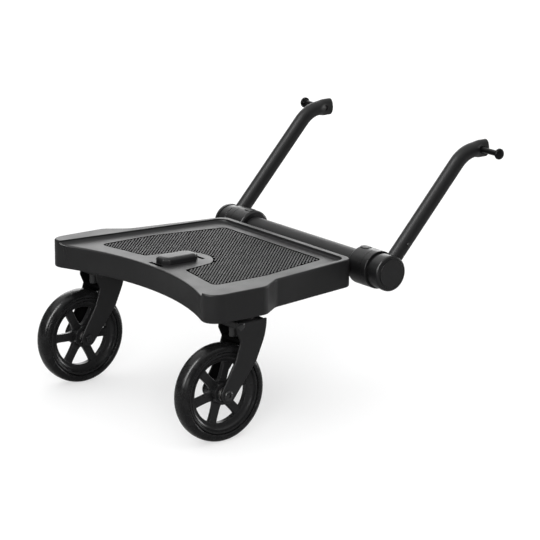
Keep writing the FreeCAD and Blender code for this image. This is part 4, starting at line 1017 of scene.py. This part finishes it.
def fork_shape(sizes, side):
    """A fork with a rounded knee and rounded outlines on its cheeks."""
    fork = copied(f"caster_fork_{side}")
    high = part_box(f"caster_fork_{side}")[1]
    knee_share, close, across = 0.815, 3 * MM, 2 * MM
    knee = Vector((high.y, WHEEL.z + knee_share * (high.z - WHEEL.z)))
    bend = [edge for edge in fork.edges if all((vert.co.yz - knee).length < close for vert in edge.verts)
            and abs(edge.verts[0].co.x - edge.verts[1].co.x) > across]
    round_edges(fork, bend, sizes.knee_round, 8)
    holes = [(WHEEL.yz, 9 * MM), (middle("limiter_pin_right").yz, 6 * MM),
             (middle("fork_pivot_right").yz, 6 * MM)]

    def outline(edge):
        """Whether an edge bounds a cheek, and not one of its holes."""
        at_hole = any(all((vert.co.yz - spot).length < reach for vert in edge.verts) for spot, reach in holes)
        return any(abs(face.normal.x) > 0.9 for face in edge.link_faces) and not at_hole

    return soften(fork, sizes.fork_round, 4, outline)


def pin_shape(sizes):
    """A limiter pin with domed ends."""
    cheek_low, cheek_high = (corner.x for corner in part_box("caster_fork_right"))
    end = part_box("limiter_pin_right")[1].x
    right = [(cheek_high, sizes.pin_radius), (cheek_high, sizes.pin_head),
             *dome(end, sizes.pin_dome, sizes.pin_head)]
    left = [(cheek_low + cheek_high - x, radius) for x, radius in reversed(right)]
    return turned(left + right, on_axis(middle("limiter_pin_right")), 40)


class BOARD_OT_casters(bpy.types.Operator):
    """Models the caster forks, their swivel heads, bolts and pins with rounded edges"""
    bl_idname = "board.casters"
    bl_label = "Casters"

    def execute(self, context):
        sizes = context.scene.board_wheels
        for side in SIDES:
            fork = f"fork_{side}"
            piece(fork, fork_shape(sizes, side), fork, "fork_plastic", f"caster_fork_{side}")
            head = soften(copied(f"swivel_head_{side}"), sizes.swivel_round)
            piece(f"swivel_head_body_{side}", head, f"swivel_{side}", "fork_plastic", f"swivel_head_{side}")
            nut = soften(copied(f"axle_nut_{side}"), sizes.nut_round)
            piece(f"axle_nut_body_{side}", nut, fork, "black_steel", f"axle_nut_{side}")
            pin = for_side(pin_shape(sizes), side)
            piece(f"pin_{side}", pin, fork, "black_steel", f"limiter_pin_{side}")
            bolt = for_side(bolt_shape(sizes), side)
            piece(f"bolt_{side}", bolt, fork, "black_steel", f"axle_bolt_{side}")
        return {"FINISHED"}


# Cross tube, hinges and arms

class BOARD_OT_cross_tube(bpy.types.Operator):
    """Models the cross tube and the saddles that hold it to the deck"""
    bl_idname = "board.cross_tube"
    bl_label = "Cross Tube"

    def execute(self, context):
        sizes = context.scene.board_arms
        half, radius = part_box("cross_tube")[1].x, sizes.tube_radius
        bore = radius - sizes.tube_wall
        tube = turned([(-half, bore), (-half, radius), (half, radius), (half, bore)], HINGE, 96, closed=True)
        piece("front_tube", soften(tube, sizes.tube_round, 2), "board", "black_paint", "cross_tube")
        for side in SIDES:
            saddle = soften(copied(f"tube_saddle_{side}"), sizes.saddle_round)
            piece(f"saddle_{side}", saddle, "board", "tray_plastic", f"tube_saddle_{side}")
        return {"FINISHED"}


def collar_shape(sizes):
    """The fixed half of a hinge, with its plug, its seam and the pocket of its release button."""
    inner, shaft_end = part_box("cross_tube")[1].x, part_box("arm_hub_right")[0].x
    plug_end, face = (corner.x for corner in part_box("hinge_collar_right"))
    low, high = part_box("release_button_right")
    rim, seam, bore = sizes.collar_radius, inner + sizes.seam_place, sizes.collar_bore
    plug = sizes.tube_radius - sizes.tube_wall - sizes.plug_gap
    well, well_end = sizes.shaft_radius + sizes.shaft_gap, shaft_end - sizes.shaft_gap
    collar = turned([
        (plug_end, bore), (plug_end, plug), (inner, plug), (inner, rim - sizes.collar_chamfer),
        (inner + sizes.collar_chamfer, rim), (seam, rim), (seam, rim - sizes.seam),
        (seam + sizes.seam, rim - sizes.seam), (seam + sizes.seam, rim), (face, rim), (face, well),
        (well_end, well), (well_end, bore)], on_axis(HINGE), 96, closed=True)

    def outer(edge):
        """Whether an edge lies near the collar's outside and clear of its seam."""
        depth, clear = 4 * MM, 2 * MM
        return all((vert.co.yz - HINGE.yz).length > rim - depth and abs(vert.co.x - seam) > clear
                   for vert in edge.verts)

    soften(collar, sizes.collar_round, 3, outer)
    gap = sizes.pocket_gap
    pocket = box(low - Vector((gap, gap, sizes.pocket_depth)), high + Vector((gap, gap, SPARE)))
    soften(pocket, sizes.pocket_round, 6, upright(TALL))
    return carved(collar, pocket)


def button_shape(sizes):
    """A release button crowned like its collar, with a bore for its spring."""
    low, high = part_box("release_button_right")
    crown, deep = sizes.collar_radius + sizes.button_rise, low.z + sizes.well_depth
    button = soften(box(low, high), sizes.button_round, 6, upright(TALL))
    around = turned([(low.x - SPARE, 0), (low.x - SPARE, crown), (high.x + SPARE, crown),
                     (high.x + SPARE, 0)], on_axis(HINGE), 192)
    well = turned([(low.z - SPARE, 0), (low.z - SPARE, sizes.well_radius), (deep, sizes.well_radius),
                   (deep, 0)], middle("release_button_right") * Vector((1, 1, 0)), 32, axis=UP)
    button = carved(carved(button, around, operation="INTERSECT"), well)
    return soften(button, sizes.button_edge, 2,
                  lambda edge: max(vert.co.z for vert in edge.verts) > low.z + TALL)


def hub_shape(sizes):
    """The turning half of a hinge, with its shaft and its neck."""
    start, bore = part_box("arm_hub_right")[0].x, sizes.hub_bore
    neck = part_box("hinge_collar_right")[1].x + sizes.hinge_gap
    shoulder, face = neck + sizes.neck_width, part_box("hub_cap_right")[0].x + sizes.spigot_length
    hub = turned([
        (start, bore), (start, sizes.shaft_radius), (neck, sizes.shaft_radius), (neck, sizes.neck_radius),
        (shoulder, sizes.neck_radius), (shoulder, sizes.hub_radius), (face, sizes.hub_radius),
        (face, bore)], on_axis(HINGE), 96, closed=True)
    return soften(hub, sizes.hub_round)


def cap_shape(sizes):
    """A hinge's cover, with its spigot and the groove round its raised disc."""
    start, end = (corner.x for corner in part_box("hub_cap_right"))
    face, rim, disc = start + sizes.spigot_length, sizes.cap_radius, sizes.cap_disc
    plate = end - sizes.disc_height
    groove = plate - sizes.groove_depth
    cap = turned([
        (start, 0), (start, sizes.spigot_radius), (face, sizes.spigot_radius), (face, rim), (plate, rim),
        (plate, disc + sizes.groove_top), (groove, disc + sizes.groove_foot), (groove, disc), (end, disc),
        (end, 0)], on_axis(HINGE), 96)
    soften(cap, sizes.cap_round, 6,
           lambda edge: all(abs((vert.co.yz - HINGE.yz).length - rim) < NEAR and vert.co.x > face + 1 * MM
                            for vert in edge.verts))
    return soften(cap, sizes.disc_round, 3,
                  lambda edge: all(vert.co.x > end - NEAR for vert in edge.verts))


class BOARD_OT_hinges(bpy.types.Operator):
    """Models the arm hinges: collars, release buttons, hubs and covers"""
    bl_idname = "board.hinges"
    bl_label = "Arm Hinges"

    def execute(self, context):
        sizes = context.scene.board_arms
        for side in SIDES:
            collar, button, hub, cap = (for_side(shape(sizes), side) for shape in (
                collar_shape, button_shape, hub_shape, cap_shape))
            push = f"release_button_{side}"
            piece(f"collar_{side}", collar, "board", "hinge_plastic", f"hinge_collar_{side}")
            piece(f"button_{side}", button, push, "button_plastic", push)
            piece(f"hub_{side}", hub, f"arm_{side}", "hinge_plastic", f"arm_hub_{side}")
            piece(f"cap_{side}", cap, f"arm_{side}", "hinge_plastic", f"hub_cap_{side}")
        return {"FINISHED"}


def arm_shape(sizes, arm_x, tip):
    """A round tube that rises from its hub, bends level and flattens at its end."""
    rise = Vector((0, math.cos(sizes.arm_angle), math.sin(sizes.arm_angle)))
    top = middle("mount_stud_right").z
    axis = Vector((arm_x, HINGE.y, HINGE.z))
    foot = axis + rise * sizes.arm_start
    corner = axis + rise * ((top - HINGE.z) / rise.z)
    run = sizes.bend_radius * math.tan(sizes.arm_angle / 2)
    bm = bmesh.new()
    bmesh.ops.create_circle(bm, cap_ends=False, segments=40, radius=sizes.arm_radius)
    lie = rise.to_track_quat("Z", "X").to_matrix()
    bmesh.ops.rotate(bm, cent=(0, 0, 0), matrix=lie, verts=bm.verts)
    bmesh.ops.translate(bm, vec=foot, verts=bm.verts)

    def onward(ring, move):
        """Draws a ring of edges on by a move and returns the new ring."""
        made = bmesh.ops.extrude_edge_only(bm, edges=ring)["geom"]
        fresh = verts_of(made)
        bmesh.ops.translate(bm, vec=move, verts=fresh)
        return [edge for edge in edges_of(made) if all(vert in fresh for vert in edge.verts)]

    ring = onward(bm.edges[:], corner - rise * run - foot)
    points = list({vert for edge in ring for vert in edge.verts})
    centre = corner + FORWARD * run - UP * sizes.bend_radius
    made = bmesh.ops.spin(bm, geom=ring + points, cent=centre, axis=ACROSS, angle=-sizes.arm_angle, steps=14)
    ring = edges_of(made["geom_last"])
    level_start, steps, above_bend = corner.y + run, 6, top - 20 * MM
    for step in range(steps):
        ring = onward(ring, FORWARD * (tip - level_start) / steps)
    flat_start = level_start - sizes.flat_run / 2
    for vert in bm.verts:
        share = min(1, (vert.co.y - flat_start) / sizes.flat_run)
        if share > 0 and vert.co.z > above_bend:
            share = share * share * (3 - 2 * share)
            tall = 1 + share * (sizes.flat_height / 2 / sizes.arm_radius - 1)
            thin = 1 + share * (sizes.flat_thickness / 2 / sizes.arm_radius - 1)
            vert.co.x = arm_x + (vert.co.x - arm_x) * thin
            vert.co.z = top + (vert.co.z - top) * tall
    bmesh.ops.holes_fill(bm, edges=[edge for edge in bm.edges if edge.is_boundary])
    bmesh.ops.recalc_face_normals(bm, faces=bm.faces)
    return bm


def stud_shape(sizes, arm_x):
    """A headed stud with a washer at its foot and a flare below its head."""
    start, end = (corner.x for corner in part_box("mount_stud_right"))
    spot = on_axis(middle("mount_stud_right"))
    neck, radius, head_radius = arm_x + sizes.flat_thickness / 2, sizes.stud_radius, sizes.stud_head
    head, washer, flare = end - sizes.stud_head_length, sizes.stud_washer, sizes.stud_flare
    crown = [(end - 2.2 * MM, head_radius), (end - 1.0 * MM, head_radius * 0.82),
             (end - 0.35 * MM, head_radius * 0.5), (end, 0)]
    stud = turned([
        (start, 0), (start, radius), (neck, radius), (neck, radius + washer),
        (neck + washer, radius + washer), (neck + washer, radius), (head - flare, radius),
        (head, radius + flare), (head, head_radius), *crown], spot, 48)
    return soften(stud, sizes.stud_head_round, 4,
                  lambda edge: all(abs((vert.co.yz - spot.yz).length - head_radius) < NEAR
                                   for vert in edge.verts))


class BOARD_OT_arms(bpy.types.Operator):
    """Models the bent arms with their end plugs, snap buttons and studs"""
    bl_idname = "board.arms"
    bl_label = "Arms"

    def execute(self, context):
        sizes = context.scene.board_arms
        arm_x = middle("arm_end_cap_right").x
        plug_low, plug_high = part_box("arm_end_cap_right")
        for side in SIDES:
            body, snap_body = f"arm_{side}", f"snap_button_{side}"
            arm = for_side(arm_shape(sizes, arm_x, plug_low.y), side)
            piece(f"arm_{side}", arm, body, "black_paint", f"arm_tube_{side}", crease=50)
            plug = soften(copied(f"arm_end_cap_{side}"), sizes.plug_round, 4,
                          lambda edge: min(vert.co.y for vert in edge.verts) > plug_high.y - 0.1 * MM)
            piece(f"end_plug_{side}", plug, body, "hinge_plastic", f"arm_end_cap_{side}")
            snap = soften(copied(snap_body), sizes.snap_round)
            piece(f"snap_{side}", snap, snap_body, "black_steel", snap_body)
            stud = for_side(stud_shape(sizes, arm_x), side)
            piece(f"stud_{side}", stud, body, "stud_plastic", f"mount_stud_{side}")
        return {"FINISHED"}


class BOARD_OT_inner(bpy.types.Operator):
    """Gives the pieces that keep their frame shape their finishes"""
    bl_idname = "board.inner"
    bl_label = "Inner Pieces"

    def execute(self, context):
        slots = {part["node"]: part["material_slot"] for part in frame["record"]["subparts"]}
        for name, node in frame["nodes"].items():
            for slot in node.material_slots:
                slot.material = finish_for(slots[name])
            if not node.material_slots:
                node.data.materials.append(finish_for(slots[name]))
        return {"FINISHED"}


# Stage

def add_floor(scene):
    """A wide pale floor that looks white to the camera and keeps the shadow."""
    bm = bmesh.new()
    bmesh.ops.create_grid(bm, x_segments=1, y_segments=1, size=30)
    mesh = bpy.data.meshes.new("floor")
    bm.to_mesh(mesh)
    bm.free()
    floor = bpy.data.objects.new("floor", mesh)
    scene.collection.objects.link(floor)
    material = bpy.data.materials.new("studio_floor")
    material.use_nodes = True
    finish = Finish(material.node_tree)
    paint = finish.node("ShaderNodeBsdfDiffuse", {}, {"Color": (*scene.board_colours.floor, 1)})
    seen, through = (finish.node("ShaderNodeLightPath", output=ray)
                     for ray in ("Is Camera Ray", "Is Transmission Ray"))
    glow = finish.maths("MAXIMUM", seen, through) * 0.55
    lift = finish.node("ShaderNodeEmission", {}, {"Color": (1, 1, 1, 1), "Strength": glow})
    both = finish.node("ShaderNodeAddShader", {}, {0: paint, 1: lift})
    finish.node("ShaderNodeOutputMaterial", {}, {"Surface": both})
    mesh.materials.append(material)


def add_world(scene):
    """A room that is brighter overhead and white to the camera."""
    scene.world = bpy.data.worlds.new("studio")
    scene.world.use_nodes = True
    finish = Finish(scene.world.node_tree)
    outward = finish.node("ShaderNodeTexCoord", output="Generated")
    height = finish.node("ShaderNodeSeparateXYZ", {}, {0: outward}, "Z")
    light = finish.levels(height, 0.0, 1.0) * 0.6 + 0.05
    light = finish.maths("MAXIMUM", light, finish.node("ShaderNodeLightPath", output="Is Camera Ray"))
    room = finish.node("ShaderNodeBackground", {}, {"Color": (1, 1, 1, 1), "Strength": light})
    finish.node("ShaderNodeOutputWorld", {}, {"Surface": room})


def add_lamp(scene, light, place):
    """A lamp that points at the middle of the board."""
    aim = Vector((0, 0, 0.2))
    lamp = bpy.data.objects.new(light.name, light)
    lamp.location = place
    lamp.rotation_euler = (aim - lamp.location).to_track_quat("-Z", "Y").to_euler()
    scene.collection.objects.link(lamp)
    return lamp


def add_lamps(scene):
    """A soft sun overhead and panels, some of which only light and some only shine."""
    sky = bpy.data.lights.new("overhead", "SUN")
    sky.energy, sky.angle = 1.6, math.radians(100)
    add_lamp(scene, sky, (-0.5, 0.4, 3))
    for name, width, height, power, place, lights, shines in (
            ("back_panel", 3.6, 1.5, 54, (-2.9, 2.2, 1.15), True, True),
            ("side_strip", 0.9, 3.2, 240, (-0.25, -2.6, 2.3), False, True),
            ("front_softbox", 0.6, 0.6, 22, (2.5, -3.0, 1.15), False, True),
            ("camera_fill", 2.4, 2.4, 170, (3.2, -2.6, 1.6), True, False),
            ("far_softbox", 0.6, 0.8, 30, (0.9, 3.2, 0.45), False, True)):
        panel = bpy.data.lights.new(name, "AREA")
        panel.shape, panel.size, panel.size_y, panel.energy = "RECTANGLE", width, height, power
        lamp = add_lamp(scene, panel, place)
        lamp.visible_diffuse, lamp.visible_glossy = lights, shines


def add_camera(scene):
    """The camera at the photograph's viewing angle."""
    lens = bpy.data.cameras.new("camera")
    lens.lens, lens.sensor_width = 192.9, 36
    camera = bpy.data.objects.new("camera", lens)
    axes = Matrix(((0.5967, -0.2062, 0.7755), (0.8024, 0.1534, -0.5767), (0, 0.9664, 0.2570)))
    camera.matrix_world = Matrix.Translation((3.514108, -2.594626, 1.348718)) @ axes.to_4x4()
    scene.collection.objects.link(camera)
    scene.camera = camera


class BOARD_OT_stage(bpy.types.Operator):
    """Sets up the pale floor, the studio light and the camera"""
    bl_idname = "board.stage"
    bl_label = "Stage"

    def execute(self, context):
        for add in (add_floor, add_world, add_lamps, add_camera):
            add(context.scene)
        context.scene.view_settings.view_transform = "Standard"
        return {"FINISHED"}


# Sidebar

PIECES = (BOARD_OT_deck, BOARD_OT_mat, BOARD_OT_handle, BOARD_OT_wheels, BOARD_OT_casters,
          BOARD_OT_cross_tube, BOARD_OT_hinges, BOARD_OT_arms, BOARD_OT_inner, BOARD_OT_stage)
GROUPS = {"board_deck": DeckSizes, "board_wheels": WheelSizes, "board_arms": ArmSizes,
          "board_colours": BoardColours}


class BOARD_PT_sidebar(bpy.types.Panel):
    """Lists the pieces of the buggy board and their sizes"""
    bl_idname = "BOARD_PT_sidebar"
    bl_label = "Buggy Board"
    bl_space_type = "VIEW_3D"
    bl_region_type = "UI"
    bl_category = "Buggy Board"

    def draw(self, context):
        for kind in PIECES:
            self.layout.operator(kind.bl_idname)
        for name, group in GROUPS.items():
            section = self.layout.box()
            for setting in group.__annotations__:
                section.prop(getattr(context.scene, name), setting)


def register():
    for kind in (*GROUPS.values(), *PIECES, BOARD_PT_sidebar):
        bpy.utils.register_class(kind)
    for name, group in GROUPS.items():
        setattr(bpy.types.Scene, name, PointerProperty(type=group))


def unregister():
    for name in GROUPS:
        delattr(bpy.types.Scene, name)
    for kind in reversed((*GROUPS.values(), *PIECES, BOARD_PT_sidebar)):
        bpy.utils.unregister_class(kind)


def main():
    register()
    for kind in PIECES:
        family, name = kind.bl_idname.split(".")
        getattr(getattr(bpy.ops, family), name)()


if __name__ == "__main__":
    main()
